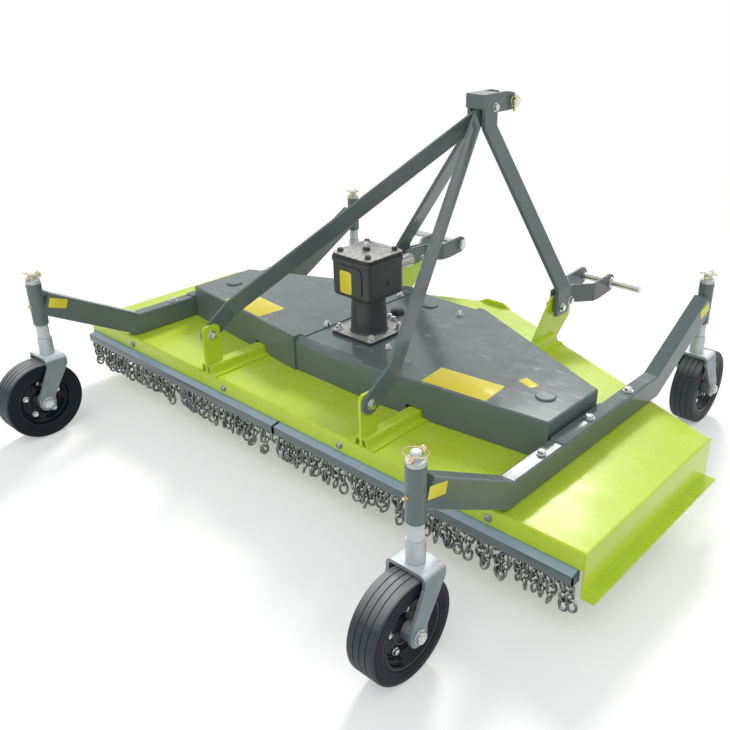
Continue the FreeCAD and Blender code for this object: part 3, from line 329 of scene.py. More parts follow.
def lid(name, top):
    """Gearbox lid: black below and round the edge, its milled face blotched with old sealant."""
    finish = Finish(name)
    bare = finish.math("MULTIPLY", finish.upward(0.4, 0.6), finish.height(top - 0.0032, top - 0.0028))
    blotch = finish.spread(finish.noise(75.0, 6.0, 0.75), 0.0, 1.0, 0.42, 0.58)
    metal = finish.mix(blotch, MILLED, SEALANT)
    finish.set("Base Color", finish.mix(bare, LID_EDGE, metal))
    finish.set("Metallic", finish.math("MULTIPLY", bare, 0.6))
    finish.set("Roughness", finish.spread(blotch, 0.3, 0.55))
    finish.bump((finish.noise(300.0, 4.0, 0.7), 0.00005))
    return finish.material


def vinyl(name, colour, shade):
    """Sheet of a label, clouded a little."""
    finish = Finish(name, Coat_Weight=0.2, Coat_Roughness=0.15)
    clouds = finish.spread(finish.noise(30.0, 3.0), 0.0, 1.0, 0.35, 0.7)
    finish.set("Base Color", finish.mix(clouds, colour, shade))
    finish.set("Roughness", finish.spread(finish.noise(60.0, 3.0), 0.35, 0.5, 0.3, 0.7))
    finish.bump((finish.noise(40.0, 2.0), 0.0002))
    return finish.material


SMUDGE = (0.62, 0.64, 0.62)
# Pale colour for the gearbox foot's flats: dust and painted glint.
IRON_DUST_AND_GLINT = (0.5, 0.5, 0.46)
MILLED = (0.78, 0.78, 0.75)
SEALANT = (0.42, 0.42, 0.41)
LID_EDGE = (0.02, 0.021, 0.022)
GREY = (0.148, 0.182, 0.185)
GREY_SHADE = (0.126, 0.158, 0.162)
FINISHES = {
    "green_paint": paint("green_enamel", (0.6, 0.77, 0.04), (0.55, 0.72, 0.034), (0.78, 0.82, 0.5), 0.15,
                         0.25),
    "grey_paint": paint("anthracite_enamel", GREY, GREY_SHADE, (0.32, 0.35, 0.36), 0.14, 0.15, 0.2, 0.3),
    "black_cast": casting("black_casting", (0.028, 0.033, 0.034), (0.04, 0.046, 0.047), STAND_TOP + 0.0095),
    # Galvanised: its pale tone is a painted highlight on what faces up and on everything above the forks' crown.
    "galvanised": plated("galvanised_steel", (0.29, 0.335, 0.35), (0.21, 0.245, 0.26), 0.42, 120.0, 0.35,
                         0.4, (0.86, 0.9, 0.93), CROWN_TOP),
    "zinc": plated("bright_zinc", (0.7, 0.72, 0.71), (0.48, 0.5, 0.49), 0.26, 260.0),
    # Chain: its near-white pale tone is a painted highlight along the upper side of each wire.
    "chain_steel": plated("chain_zinc", (0.27, 0.29, 0.28), (0.07, 0.08, 0.075), 0.2, 150.0, 0.7, 0.85,
                          (0.9, 0.92, 0.9)),
    "bare_steel": machined("splined_steel", (0.6, 0.6, 0.58), (0.38, 0.38, 0.37), 0.28),
    "blade_steel": paint("blade_paint", (0.045, 0.045, 0.05), (0.03, 0.03, 0.033), (0.2, 0.2, 0.18), 0.1,
                         0.4),
    "tyre": rubber("tyre_wall", (0.007, 0.011, 0.018), (0.013, 0.018, 0.026), 0.4),
    "black_rim": paint("black_enamel", (0.008, 0.012, 0.018), (0.014, 0.019, 0.026), (0.06, 0.06, 0.06), 0.05,
                       0.14, 0.0, 0.15),
}
TREAD = rubber("tyre_tread", (0.045, 0.054, 0.064), (0.07, 0.08, 0.09), 0.5, (0.4, 0.41, 0.415))
# Rail paint: the pale blue on its upward faces is a painted sky reflection on the same grey enamel.
RAIL_PAINT = paint("rail_enamel", GREY, GREY_SHADE, (0.36, 0.42, 0.45), 0.1, 0.15, 0.2, 0.4,
                   (0.36, 0.49, 0.64))
LID_FINISH = lid("gearbox_lid", LID_TOP)
BLACK_BOLT = casting("blackened_bolt", (0.018, 0.018, 0.02), (0.03, 0.03, 0.032))
YELLOW_ZINC = plated("yellow_zinc", (0.78, 0.64, 0.4), (0.6, 0.46, 0.26), 0.24, 260.0)
YELLOW_VINYL = vinyl("yellow_vinyl", (0.82, 0.7, 0.04), (0.78, 0.66, 0.03))


# ---- shapes: each stands on the origin along +Z ----------------------------------------------
def as_mesh(bm):
    """Mesh of a bmesh, which it frees."""
    mesh = bpy.data.meshes.new("shape")
    bm.to_mesh(mesh)
    bm.free()
    return mesh


def lathe(profile, segments):
    """Solid turned about Z from a closed outline of (radius, height) points."""
    bm = bmesh.new()
    verts = [bm.verts.new((radius, 0, z)) for radius, z in profile]
    edges = [bm.edges.new(pair) for pair in zip(verts, verts[1:] + verts[:1])]
    bmesh.ops.spin(bm, geom=verts + edges, cent=(0, 0, 0), axis=UP, angle=math.tau, steps=segments,
                   use_merge=True)
    bmesh.ops.remove_doubles(bm, verts=bm.verts, dist=1e-6)
    bmesh.ops.recalc_face_normals(bm, faces=bm.faces)
    return bm


def ease_edges(bm, edges, radius):
    """Round edges off."""
    bmesh.ops.bevel(bm, geom=edges, offset=radius, segments=2, profile=0.5, affect="EDGES", material=-1)


def new_verts(made):
    """Points among what an operator returns."""
    return [part for part in made if isinstance(part, bmesh.types.BMVert)]


def hexagon(across, height, edge):
    """Hexagonal prism with its upper rim eased."""
    bm = bmesh.new()
    corner = across / math.sqrt(3)
    bmesh.ops.create_cone(bm, cap_ends=True, segments=6, radius1=corner, radius2=corner, depth=height)
    bmesh.ops.translate(bm, verts=bm.verts, vec=(0, 0, height / 2))
    ease_edges(bm, [e for e in bm.edges if all(v.co.z > height / 2 for v in e.verts)], edge)
    return bm


def plate(width, depth, thickness, corner, ease):
    """Flat sheet with rounded corners and an eased upper rim."""
    bm = bmesh.new()
    bmesh.ops.create_grid(bm, x_segments=1, y_segments=1, size=0.5)
    bmesh.ops.scale(bm, verts=bm.verts, vec=(width, depth, 1))
    bmesh.ops.bevel(bm, geom=bm.verts[:], offset=corner, segments=5, profile=0.5, affect="VERTICES",
                    material=-1)
    lifted = bmesh.ops.extrude_face_region(bm, geom=bm.faces[:])["geom"]
    bmesh.ops.translate(bm, verts=new_verts(lifted), vec=(0, 0, thickness))
    bmesh.ops.recalc_face_normals(bm, faces=bm.faces)
    ease_edges(bm, [e for e in bm.edges if all(v.co.z > thickness / 2 for v in e.verts)], ease)
    return bm


def bar(outline, start, end, ease):
    """Bar along X with its section given as (y, z) points, its long edges eased."""
    bm = bmesh.new()
    face = bm.faces.new([bm.verts.new((start, y, z)) for y, z in outline])
    lifted = bmesh.ops.extrude_face_region(bm, geom=[face])["geom"]
    bmesh.ops.translate(bm, verts=new_verts(lifted), vec=(end - start, 0, 0))
    bmesh.ops.recalc_face_normals(bm, faces=bm.faces)
    half = abs(end - start) / 2
    ease_edges(bm, [e for e in bm.edges if abs(e.verts[0].co.x - e.verts[1].co.x) > half], ease)
    return as_mesh(bm)


def stack(*layers):
    """Mesh of (bmesh, height) layers set one above the other."""
    whole = bmesh.new()
    for bm, z in layers:
        part = as_mesh(bm)
        start = len(whole.verts)
        whole.from_mesh(part)
        whole.verts.ensure_lookup_table()
        bmesh.ops.translate(whole, verts=whole.verts[start:], vec=(0, 0, z))
        bpy.data.meshes.remove(part)
    return as_mesh(whole)


def washer(radius, thickness, hole=0.0):
    """Disc with eased rims, drilled when it has a hole."""
    ease = thickness * 0.25
    return lathe([(hole, 0), (radius - ease, 0), (radius, ease), (radius, thickness - ease),
                  (radius - ease, thickness), (hole, thickness)], 28)


def bolt_head(size, flat=WASHER):
    """Hexagonal head, on a washer unless flat is nothing."""
    across, height = size
    head = (hexagon(across, height, height * 0.14), flat * 0.9)
    crown = lathe([(0, 0), (across * 0.47, 0), (across * 0.42, height * 0.1), (0, height * 0.1)], 24)
    layers = [(washer(across * 0.72, flat), 0)] if flat else []
    return stack(*layers, head, (crown, flat + height * 0.86))


def lock_nut(size, thread=0.55):
    """Washer, nut with its nylon collar, and the end of the bolt."""
    across, height = size
    collar = across * 0.42
    bolt = across * 0.3
    rise = height * 1.1
    crown = [(0, 0), (collar, 0), (collar, height * 0.3), (collar * 0.9, height * 0.42),
             (bolt, height * 0.42), (bolt, rise * thread), (bolt * 0.8, rise * thread + 0.001),
             (0, rise * thread + 0.001)]
    return stack((washer(across * 0.74, WASHER), 0), (hexagon(across, rise, height * 0.14), WASHER * 0.9),
                 (lathe(crown, 20), WASHER + rise * 0.97))


def acorn_nut(size):
    """Washer and domed nut."""
    across, height = size
    dome = across * 0.45
    profile = [(0, 0), (dome, 0)]
    for step in range(1, 5):
        turn = math.radians(90 * step / 4)
        profile.append((dome * math.cos(turn), height * 0.2 + dome * 0.8 * math.sin(turn)))
    foot = 0.0014
    body = hexagon(across, height * 0.8, height * 0.1)
    return stack((washer(across * 0.7, foot + 0.0002), 0), (body, foot),
                 (lathe(profile, 20), foot + height * 0.75))


def wire_loop(width, length, wire, sides, steps):
    """Round wire bent to a loop in the XZ plane, hanging with its inner top at the origin."""
    bm = bmesh.new()
    bend = (width - wire) / 2
    straight = length - width
    ring = bmesh.ops.create_circle(bm, segments=sides, radius=wire / 2, cap_ends=False)["verts"]
    bmesh.ops.translate(bm, verts=ring, vec=(bend, 0, -straight / 2))
    edges = bm.edges[:]
    for way in (1, -1):
        grown = bmesh.ops.extrude_edge_only(bm, edges=edges)["geom"]
        moved = new_verts(grown)
        edges = [g for g in grown if isinstance(g, bmesh.types.BMEdge)]
        edges = [e for e in edges if all(v in moved for v in e.verts)]
        bmesh.ops.translate(bm, verts=moved, vec=(0, 0, way * straight))
        spun = bmesh.ops.spin(bm, geom=moved + edges, cent=(0, 0, way * straight / 2), axis=(0, -1, 0),
                              angle=math.pi, steps=steps)["geom_last"]
        edges = [g for g in spun if isinstance(g, bmesh.types.BMEdge)]
    bmesh.ops.remove_doubles(bm, verts=bm.verts, dist=1e-5)
    bmesh.ops.recalc_face_normals(bm, faces=bm.faces)
    bmesh.ops.translate(bm, verts=bm.verts, vec=(0, 0, wire - length / 2))
    return as_mesh(bm)


def facing(direction, place, turn=0.0):
    """Matrix that carries a shape's +Z to the direction, its origin to the place."""
    swing = Vector(direction).to_track_quat("Z", "Y").to_matrix().to_4x4()
    return Matrix.Translation(place) @ swing @ Matrix.Rotation(turn, 4, "Z")


# ---- pieces ---------------------------------------------------------------------------------
def piece(name, body, finish, placed, crease=35.0):
    """One object made of (mesh, matrix) copies, riding on a body."""
    bm = bmesh.new()
    for mesh, matrix in placed:
        start = len(bm.verts)
        bm.from_mesh(mesh)
        bm.verts.ensure_lookup_table()
        bmesh.ops.transform(bm, matrix=matrix, verts=bm.verts[start:])
    mesh = bpy.data.meshes.new(name)
    bm.to_mesh(mesh)
    bm.free()
    mesh.shade_smooth()
    mesh.set_sharp_from_angle(angle=math.radians(crease))
    finishes = finish if isinstance(finish, (list, tuple)) else [finish]
    for coat in finishes:
        mesh.materials.append(coat)
    made = bpy.data.objects.new(name, mesh)
    bpy.context.scene.collection.objects.link(made)
    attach(made, body)
    return made


def dress_nodes():
    """Give every CAD node the finish of its slot."""
    for part in frame["record"]["subparts"]:
        made = frame["nodes"][part["node"]]
        finish = LID_FINISH if part["node"] == "gearbox_cap" else FINISHES[part["material_slot"]]
        if not made.material_slots:
            made.data.materials.append(finish)
        for slot in made.material_slots:
            slot.material = finish


# ---- chain guard ------------------------------------------------------------------------------
def chain_rails():
    """Bent plate bolted behind the deck's lip: its top falls to the rear, its ends are closed."""
    rear = DECK_REAR - RAIL_DEPTH
    flange = DECK_REAR + FLANGE_INSET
    fold = RAIL_FOOT + RAIL_FOLD
    seam = LIP_FOOT - RAIL_SEAM
    top = LIP_FOOT + RAIL_FLANGE
    inner_rear, inner_flange = rear + RAIL_SHEET, flange + RAIL_SHEET
    section = [(rear, RAIL_FOOT), (rear, fold), (flange, seam), (flange, top), (inner_flange, top),
               (inner_flange, LIP_FOOT - INNER_SEAM), (inner_rear, fold - INNER_FOLD),
               (inner_rear, RAIL_FOOT)]
    gable = [(rear, RAIL_FOOT), (rear, fold), (flange, seam), (flange, RAIL_FOOT)]
    behind, above, radius = ROD
    start, end = low("chain_rail_right").x, high("chain_rail_right").x
    rod = as_mesh(lathe([(0, 0), (radius, 0), (radius, end - start), (0, end - start)], 12))
    for side, sign in SIDES.items():
        placed = [(bar(section, sign * start, sign * end, 0.0013), Matrix.Identity(4)),
                  (rod, facing((sign, 0, 0), (sign * start, DECK_REAR - behind, RAIL_FOOT + above)))]
        for x in (start, end - RAIL_HEM):
            placed.append((bar(gable, sign * x, sign * (x + RAIL_HEM), 0.0004), Matrix.Identity(4)))
        rail = piece("chain_rail_" + side + "_bent", "frame", RAIL_PAINT, placed)
        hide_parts("chain_rail_" + side)


def strand_places(place, lean, rng):
    """Matrices of the links of one strand, each hung in the one above."""
    twist = math.radians(rng.uniform(0, 50)) * rng.choice((-1, 1))
    along, across = lean
    for _ in range(LINKS_PER_STRAND):
        hang = Matrix.Rotation(along, 4, "Y") @ Matrix.Rotation(across, 4, "X")
        yield Matrix.Translation(place) @ hang @ Matrix.Rotation(twist, 4, "Z")
        place = place + hang @ Vector((0, 0, 2 * LINK_WIRE - LINK_LENGTH))
        twist += math.radians(90 + rng.uniform(-40, 40))
        along += math.radians(rng.uniform(-12, 12))
        across += math.radians(rng.uniform(-7, 7))


def chain_curtain():
    """Real links in place of the plain ones, a little tangled along the guard."""
    link = wire_loop(LINK_WIDTH, LINK_LENGTH, LINK_WIRE, 6, 4)
    rng = random.Random(CURTAIN_SEED)
    behind, above, radius = ROD
    first = low("chain_rail_right").x + RAIL_HEM
    last = high("chain_rail_right").x - RAIL_HEM
    count = int((last - first) / STRAND_PITCH)
    pitch = (last - first) / count
    for side, sign in SIDES.items():
        waves = [(rng.uniform(14, 40), rng.uniform(0, math.tau)) for _ in range(3)]
        placed = []
        for index in range(count):
            x = sign * (first + pitch * (index + 0.5))
            place = Vector((x, DECK_REAR - behind, RAIL_FOOT + above + radius))
            sway = sum(math.sin(rate * x + phase) for rate, phase in waves) / len(waves)
            edge = min(1.0, 0.3 + 4 * min(abs(x) - first, last - abs(x)) / 0.1)
            along = math.radians(16) * sway * edge + math.radians(rng.uniform(-5, 5))
            lean = (along, math.radians(rng.uniform(-4, 4)))
            placed += [(link, matrix) for matrix in strand_places(place, lean, rng)]
        curtain = piece("chain_strands_" + side, "frame", FINISHES["chain_steel"], placed, 80)
        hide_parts("chains_" + side)


def rail_bolts():
    """Bolts through the deck's rear lip and the rail's flange."""
    head = bolt_head(M8_HEAD)
    z = DECK_TOP - RAIL_BOLT_DROP
    placed = [(head, facing((0, -1, 0), (x, DECK_REAR, z), x)) for x in RAIL_BOLT_X]
    piece("rail_bolts", "frame", FINISHES["galvanised"], placed)


# ---- labels -----------------------------------------------------------------------------------
def label(name, centre, size, across, normal, corner=0.003):
    """Blank yellow label, lying on a face."""
    across = Vector(across).normalized()
    normal = Vector(normal).normalized()
    turn = Matrix((across, normal.cross(across), normal)).transposed().to_4x4()
    sheet = as_mesh(plate(size[0], size[1], LABEL_SHEET, corner, LABEL_SHEET * 0.3))
    piece(name, "frame", YELLOW_VINYL, [(sheet, Matrix.Translation(centre) @ turn)])


def labels():
    """Labels on the covers, the arms and the gearbox."""
    for side, sign in SIDES.items():
        large = (sign * 0.3908, -0.1009, COVER_TOP)
        label("cover_label_large_" + side, large, LARGE_LABEL, (1, sign * 0.104, 0), UP)
        small = (sign * 0.5082, 0.0057, COVER_TOP)
        label("cover_label_small_" + side, small, SMALL_LABEL, (1, -sign * 0.32, 0), UP)
    outer = ARM_X + ARM_HALF
    inner = ARM_HALF - ARM_X
    for name, place, along in (("right", (outer, -0.566, 0.371), (0, 0.05, -0.0121)),
                               ("left", (inner, -0.555, 0.368), (0, 0.0516, -0.0189)),
                               ("front", (outer, 0.566, 0.368), (0, 0.05, 0.0135))):
        label("arm_label_" + name, place, ARM_LABEL, along, (1, 0, 0))
    panel = BOX_Y - BOX_HALF - GEARBOX_PANEL
    label("gearbox_label", (-0.012, panel, 0.4565), GEARBOX_LABEL, (1, 0, 0), (0, -1, 0), 0.007)


# ---- covers, stand and gearbox ------------------------------------------------------------------
def cover_fixings():
    """Domed nuts that hold the covers beside the gearbox."""
    nut = acorn_nut(M10_HEAD)
    placed = []
    for sign in SIDES.values():
        for y in (-0.068, 0.236):
            placed.append((nut, facing(UP, (sign * 0.115, y, COVER_TOP), y)))
    piece("cover_nuts", "frame", FINISHES["zinc"], placed)


def tensioner():
    """Domed cap over the belt tensioner's pivot behind the gearbox, with the stop bolts beside it."""
    dome = lathe([(0, 0), (0.0195, 0), (0.0195, 0.007), (0.0185, 0.0095), (0.0155, 0.012), (0.009, 0.0132),
                  (0, 0.0135)], 32)
    cap = stack((washer(0.0225, 0.002), 0), (dome, 0.0018))
    piece("tensioner_cap", "frame", BLACK_BOLT, [(cap, facing(UP, (-0.031, 0.131, STAND_TOP)))])
    placed = [(bolt_head(M8_HEAD), facing(UP, (-0.012, 0.092, STAND_TOP), 0.3)),
              (bolt_head(M8_HEAD), facing(UP, (-0.033, 0.1, STAND_TOP), 0.8))]
    piece("tensioner_bolts", "frame", FINISHES["zinc"], placed)


def square(half_x, half_y):
    """Four (x, y) corners about the middle."""
    return [(x, y) for x in (-half_x, half_x) for y in (-half_y, half_y)]


def gearbox_fixings():
    """Foot nuts, and the bolts of the lid and of the bearing cap."""
    foot = lock_nut(M12_HEAD, 0.7)
    foot_top = low("gearbox_housing").z + 0.009
    placed = []
    for x, y in square(0.06, 0.055):
        placed.append((foot, facing(UP, (x, BOX_Y + y, foot_top), x * 9 + y)))
    piece("gearbox_foot_nuts", "frame", FINISHES["zinc"], placed)
    placed = []
    for x, y in square(0.05, 0.05):
        placed.append((bolt_head(LID_BOLT, 0), facing(UP, (x, BOX_Y + y, LID_TOP), x * 9 + y * 4)))
    for step in range(4):
        turn = math.radians(45 + 90 * step)
        across, rise = CAP_BOLT_CIRCLE * math.cos(turn), CAP_BOLT_CIRCLE * math.sin(turn)
        front = (across, high("gearbox_housing").y, SHAFT_Z + rise)
        placed.append((bolt_head(M8_HEAD), facing((0, 1, 0), front)))
    piece("gearbox_bolts", "frame", BLACK_BOLT, placed)


def gearbox_fittings():
    """Breather on its hexagonal base, and the level plug."""
    base_height = 0.008
    base = as_mesh(hexagon(0.018, base_height, 0.001))
    neck = as_mesh(lathe([(0, 0), (0.005, 0), (0.005, 0.006), (0.0075, 0.007), (0.0075, 0.014),
                          (0.0065, 0.0155), (0, 0.016)], 24))
    base_at = Vector((-0.004, BOX_Y, LID_TOP))
    piece("breather_base", "frame", BLACK_BOLT, [(base, facing(UP, base_at))])
    piece("breather", "frame", FINISHES["zinc"], [(neck, facing(UP, base_at + base_height * UP))])
    plug_at = (BOX_HALF - 0.0005, BOX_Y + 0.006, 0.453)
    plug = bolt_head(PLUG_HEAD, 0)
    piece("level_plug", "frame", BLACK_BOLT, [(plug, facing((1, 0, 0), plug_at))])


# ---- hitch and mast -------------------------------------------------------------------------------
def mast_fixings():
    """Bolts through lugs, clevis plates, legs, struts and the bracket, with their nuts."""
    head = bolt_head(M12_HEAD)
    nut = lock_nut(M12_HEAD)
    placed = []
    for sign in SIDES.values():
        out = (sign, 0, 0)
        back = (-sign, 0, 0)
        for y, outer in ((0.461, LEG_OUTSIDE), (0.528, LUG_X + LUG_HALF + PLATE)):
            placed.append((head, facing(out, (sign * outer, y, LUG_BOLT_Z), y * 9)))
            placed.append((nut, facing(back, (sign * (LUG_X - LUG_HALF - PLATE), y, LUG_BOLT_Z), y * 5)))
        lug = (-0.328, 0.305)
        placed.append((head, facing(out, (sign * (LUG_X + LUG_HALF + PLATE), *lug), 0.4)))
        placed.append((nut, facing(back, (sign * (LUG_X - LUG_HALF), *lug), 0.2)))
        shape = head if sign > 0 else nut
        placed.append((shape, facing(out, (sign * high("top_bracket").x, 0.485, HEAD_TOP - 0.039), 0.3)))
    piece("mast_bolts", "frame", FINISHES["zinc"], placed)


def linch_pin():
    """Shank with a tapered tip and the block that carries the ring; its middle is at the origin."""
    return as_mesh(lathe([(0, -0.021), (0.0032, -0.021), (0.0045, -0.017), (0.0045, 0.014), (0.0068, 0.014),
                          (0.0078, 0.0152), (0.0078, 0.0238), (0.0068, 0.025), (0, 0.025)], 24))


def top_pin_clip():
    """Linch pin hanging in the end of the top link's pin, its ring swung up."""
    ring = wire_loop(CLIP_RING, CLIP_RING, CLIP_WIRE, 10, 14)
    x = high("top_link_pin").x - 0.004
    shank = facing((0.02, 0.1, 1), (x, TOP_PIN.y, TOP_PIN.z - 0.006))
    ring_at = Matrix.Translation((x, TOP_PIN.y + 0.002, TOP_PIN.z + 0.016))
    loop = ring_at @ Matrix.Rotation(math.radians(70), 4, "Z")
    piece("top_pin_clip", "frame", YELLOW_ZINC, [(linch_pin(), shank), (ring, loop)], 50)


# ---- casters --------------------------------------------------------------------------------------
def tyre_profile(radius, half_width, bead):
    """Closed outline of a solid tyre: flat crown, grooves round it and rounded shoulders."""
    tread = []
    for groove in GROOVES:
        trough = radius - 0.0018
        tread += [(radius, groove - 0.0014), (trough, groove - 0.0007), (trough, groove + 0.0007),
                  (radius, groove + 0.0014)]
    shoulder = []
    for step in range(7):
        turn = math.radians(90 * step / 6)
        shoulder.append((radius - SHOULDER + SHOULDER * math.cos(turn),
                         half_width - SHOULDER + SHOULDER * math.sin(turn)))
    wall = [(radius - 0.018, half_width - 0.0004), (radius - 0.0195, half_width - 0.0014),
            (radius - 0.021, half_width - 0.0006), (radius - 0.0245, half_width - 0.001),
            (bead + 0.009, half_width - 0.002), (bead + 0.0072, half_width - 0.0042),
            (bead + 0.0045, half_width - 0.0044), (bead + 0.0025, half_width - 0.006),
            (bead, half_width - 0.007)]
    right = shoulder + wall
    left = [(r, -z) for r, z in right]
    return tread + right + left[::-1]


def tyre_shape():
    """Tyre whose crown and shoulders take the second finish."""
    bm = lathe(tyre_profile(TYRE_RADIUS, TYRE_HALF, RIM_SEAT + 0.0002), 96)
    for face in bm.faces:
        centre = face.calc_center_median()
        if math.hypot(centre.x, centre.y) > TYRE_RADIUS - 0.0045:
            face.material_index = 1
    return as_mesh(bm)


def rim_profile():
    """Closed outline of a pressed rim: hub tube, dish with a raised ring, and the rolled flange."""
    side = [(0.0083, 0.0402), (0.0162, 0.0402), (0.017, 0.0394), (0.017, 0.0165), (0.0235, 0.0135),
            (0.0275, 0.0125), (0.0295, 0.0148), (0.0335, 0.0152), (0.0365, 0.0125), (0.0545, 0.0118),
            (0.0575, 0.0145), (0.0605, 0.0215), (0.0635, 0.0235), (0.0655, 0.0222), (0.0675, 0.0242),
            (0.0688, 0.0292), (0.0708, 0.0318), (0.0742, 0.0322), (0.0764, 0.0312), (0.0768, 0.0298),
            (0.0755, 0.0292), (0.0715, 0.0282), (RIM_SEAT, 0.0262)]
    return side + [(radius, -z) for radius, z in side[::-1]]


def wheels():
    """Tyre, rim, hub collars and rim bolts of each wheel."""
    tyre_mesh = tyre_shape()
    dish = as_mesh(lathe(rim_profile(), 72))
    sleeve = as_mesh(lathe([(0.0168, 0.0172), (0.0188, 0.0172), (0.0192, 0.0178), (0.0192, 0.0386),
                            (0.018, 0.04), (0.0168, 0.04)], 40))
    head = bolt_head(RIM_BOLT)
    nut = lock_nut(RIM_BOLT, 0.4)
    for corner in CORNERS:
        body = "wheel_" + corner
        centre = JOINT_AT["spin_" + corner]
        seat = facing((1, 0, 0), centre)
        tyre = piece("tyre_" + corner + "_grooved", body, [FINISHES["tyre"], TREAD],
                     [(tyre_mesh, seat)], 28)
        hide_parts("tyre_" + corner)
        rim = piece("rim_" + corner + "_pressed", body, FINISHES["black_rim"],
                    [(dish, seat)], 40)
        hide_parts("rim_" + corner)
        collars = [(sleeve, seat), (sleeve, facing((-1, 0, 0), centre))]
        piece("hub_collars_" + corner, body, FINISHES["galvanised"], collars)
        placed = []
        face = Vector((RIM_FACE, 0, 0))
        for step in range(5):
            turn = math.radians(18 + 72 * step)
            spoke = Vector((0, math.cos(turn), math.sin(turn))) * BOLT_CIRCLE
            placed.append((head, facing((1, 0, 0), centre + spoke + face, turn)))
            placed.append((nut, facing((-1, 0, 0), centre + spoke - face, turn)))
        piece("rim_bolts_" + corner, body, FINISHES["zinc"], placed)


def axle_ends():
    """Washer, plated nut and the end of the axle bolt, on both sides of each fork."""
    ring = as_mesh(washer(0.0155, 0.0022, 0.009))
    thread = lathe([(0, 0), (0.0076, 0), (0.0076, 0.0022), (0.0062, 0.0034), (0, 0.0034)], 24)
    nut = stack((hexagon(0.0234, 0.0073, 0.001), 0), (thread, 0.0068))
    for corner in CORNERS:
        centre = JOINT_AT["spin_" + corner]
        placed = []
        for way in (-1, 1):
            out = Vector((way, 0, 0))
            placed.append((ring, facing(out, centre + out * FORK_HALF)))
            placed.append((nut, facing(out, centre + out * (FORK_HALF + 0.002))))
        piece("axle_washers_" + corner, "caster_" + corner, FINISHES["zinc"], placed)


def stem_pins():
    """Linch pin through the top of each caster stem, its ring snapped round the stem."""
    shank = linch_pin()
    ring = wire_loop(STEM_RING, STEM_RING, CLIP_WIRE, 10, 16)
    headings = {"rear_right": (98, 9), "rear_left": (104, 24), "front_right": (95, 12),
                "front_left": (108, 7)}
    for corner, (heading, tilt) in headings.items():
        stem = JOINT_AT["swivel_" + corner]
        top = high("fork_" + corner).z
        turned = Matrix.Rotation(math.radians(heading - 90), 4, "Z")
        through = turned @ Vector((0, 1, 0.14))
        pin = (shank, facing(through, Vector((stem.x, stem.y, top - 0.0105))))
        tipped = turned @ Matrix.Rotation(math.radians(-tilt), 4, "X")
        centring = Matrix.Translation((0, 0, STEM_RING / 2 - CLIP_WIRE))
        level = Matrix.Rotation(math.radians(90), 4, "X") @ centring
        loop = Matrix.Translation((stem.x, stem.y, top - 0.004)) @ tipped @ level
        piece("linch_pin_" + corner, "caster_" + corner, YELLOW_ZINC, [pin, (ring, loop)], 50)


def grease_nipples():
    """Nipple on the outer face of each stem's sleeve."""
    shape = as_mesh(lathe([(0, -0.001), (0.0042, -0.001), (0.0042, 0.003), (0.003, 0.004), (0.003, 0.006),
                           (0.0036, 0.007), (0.003, 0.0095), (0.0015, 0.0105), (0, 0.0105)], 16))
    placed = []
    for end, forward in ENDS.items():
        for side, outward in SIDES.items():
            stem = JOINT_AT["swivel_" + end + "_" + side]
            out = Vector((-0.2 * outward, forward, 0)).normalized()
            placed.append((shape, facing(out, Vector((stem.x, stem.y, 0.374)) + out * 0.0195)))
    piece("grease_nipples", "frame", YELLOW_ZINC, placed)


def arm_fixings():
    """Plate and bolts on the flat of each caster arm."""
    top = DECK_TOP + ARM_TUBE
    head = bolt_head(M12_HEAD)
    sheet = as_mesh(plate(2 * ARM_HALF, ARM_SHEET_LENGTH, ARM_SHEET, 0.008, 0.0008))
    sheets = []
    bolts = []
    for sign in SIDES.values():
        sheets.append((sheet, Matrix.Translation((sign * ARM_X, -0.02, top))))
        for y, z in ((-0.191, top), (0.007, top + ARM_SHEET), (0.195, top)):
            bolts.append((head, facing(UP, (sign * ARM_X, y, z), y * 7)))
    piece("arm_plates", "frame", FINISHES["grey_paint"], sheets)
    piece("arm_bolts", "frame", FINISHES["zinc"], bolts)


# ---- studio -----------------------------------------------------------------------------------------
def studio_floor():
    """Pale floor that keeps the shadow and fades into the white surround."""
    bm = bmesh.new()
    bmesh.ops.create_grid(bm, x_segments=1, y_segments=1, size=FLOOR_SIZE)
    mesh = bpy.data.meshes.new("floor")
    bm.to_mesh(mesh)
    bm.free()
    floor = bpy.data.objects.new("floor", mesh)
    bpy.context.scene.collection.objects.link(floor)
    finish = Finish("pale_floor", Roughness=0.9, Specular_IOR_Level=0.1)
    finish.set("Base Color", (0.86, 0.86, 0.86, 1.0))
    tree = finish.tree
    distance = finish.add("VectorMath", {0: finish.place}, operation="LENGTH").outputs["Value"]
    away = finish.spread(distance, 0.0, 1.0, *FADE)
    rays = seen_rays(tree)
    glow = finish.add("Emission", {"Color": (1, 1, 1, 1), "Strength": 1.0}).outputs["Emission"]
    lift = finish.add("Emission", {"Color": (1, 1, 1, 1), "Strength": FLOOR_LIFT}).outputs["Emission"]
    lifted = finish.add("AddShader", {0: finish.shader.outputs["BSDF"], 1: lift}).outputs["Shader"]
    near = finish.add("MixShader", {0: rays, 1: finish.shader.outputs["BSDF"], 2: lifted}).outputs["Shader"]
    blend = finish.add("MixShader", {0: finish.math("MULTIPLY", away, rays), 1: near, 2: glow})
    tree.links.new(blend.outputs["Shader"], tree.nodes["Material Output"].inputs["Surface"])
    mesh.materials.append(finish.material)


def seen_rays(tree):
    """One for the camera's rays and for mirrored and see-through ones, zero for the rest."""
    path = node(tree, "LightPath")
    through = {0: path.outputs["Is Glossy Ray"], 1: path.outputs["Is Transmission Ray"]}
    indirect = node(tree, "Math", through, operation="MAXIMUM").outputs["Value"]
    seen = node(tree, "Math", {0: path.outputs["Is Camera Ray"], 1: indirect}, operation="MAXIMUM")
    return seen.outputs["Value"]


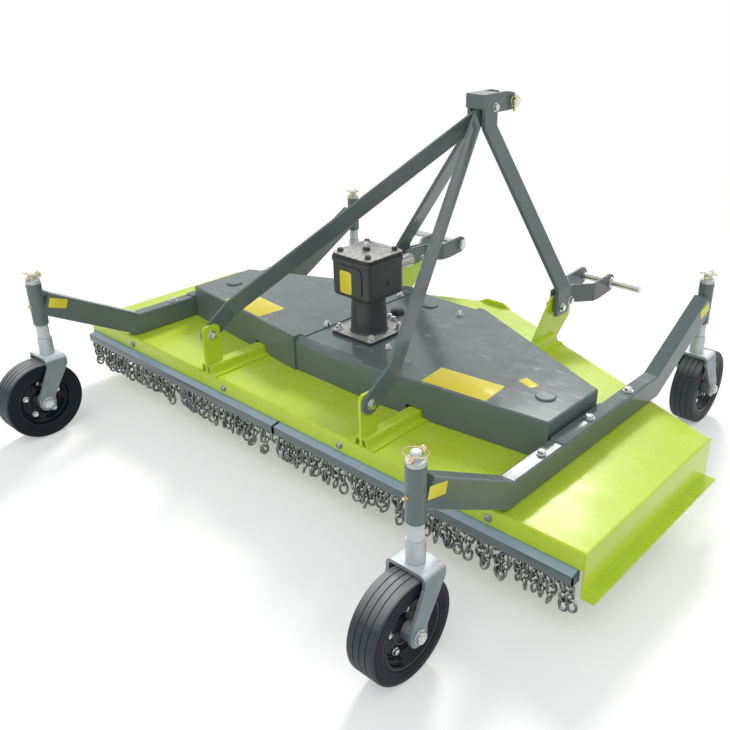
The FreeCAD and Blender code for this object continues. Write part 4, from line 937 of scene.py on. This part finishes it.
def surround():
    """White background to the eye, and an even pale sky as light."""
    world = bpy.data.worlds.new("surround")
    bpy.context.scene.world = world
    world.use_nodes = True
    tree = world.node_tree
    plain = tree.nodes["Background"]
    plain.inputs["Color"].default_value = (0.93, 0.97, 1.0, 1.0)
    plain.inputs["Strength"].default_value = SKY
    white = node(tree, "Background", {"Color": (1, 1, 1, 1), "Strength": 1.0})
    choice = node(tree, "MixShader", {0: seen_rays(tree), 1: plain.outputs["Background"],
                                      2: white.outputs["Background"]})
    tree.links.new(choice.outputs["Shader"], tree.nodes["World Output"].inputs["Surface"])


def sun(name, energy, spread, mirrored, direction):
    """Far lamp; unless mirrored it lights without being seen in the paint."""
    data = bpy.data.lights.new(name, "SUN")
    data.energy = energy
    data.color = (1.0, 0.985, 0.95)
    data.angle = math.radians(spread)
    made = bpy.data.objects.new(name, data)
    made.visible_glossy = mirrored
    made.rotation_mode = "QUATERNION"
    made.rotation_quaternion = Vector(direction).to_track_quat("Z", "Y")
    bpy.context.scene.collection.objects.link(made)


def camera():
    """View from behind the machine's right, a little above the mast."""
    data = bpy.data.cameras.new("camera")
    data.lens = 41.07
    data.sensor_width = 36.0
    data.shift_x = -0.0814
    data.shift_y = -0.0095
    data.clip_start = 0.05
    made = bpy.data.objects.new("camera", data)
    forward = Vector((-0.5849, 0.689, -0.428))
    raised = Vector((-0.2822, 0.3218, 0.9038))
    right = forward.cross(raised)
    turn = Matrix((right, raised, -forward)).transposed().to_4x4()
    made.matrix_world = Matrix.Translation((1.4729, -1.5191, 1.2108)) @ turn
    bpy.context.scene.collection.objects.link(made)
    bpy.context.scene.camera = made


dress_nodes()
chain_rails()
chain_curtain()
rail_bolts()
labels()
cover_fixings()
tensioner()
gearbox_fixings()
gearbox_fittings()
mast_fixings()
top_pin_clip()
wheels()
axle_ends()
stem_pins()
grease_nipples()
arm_fixings()
studio_floor()
surround()
sun("key", 2.0, 15, False, KEY_WAY)
sun("fill", 0.75, 60, False, (0.35, -0.6, 0.72))
sun("glint", 0.24, 7, True, KEY_WAY)
camera()
bpy.context.scene.view_settings.view_transform = "Standard"
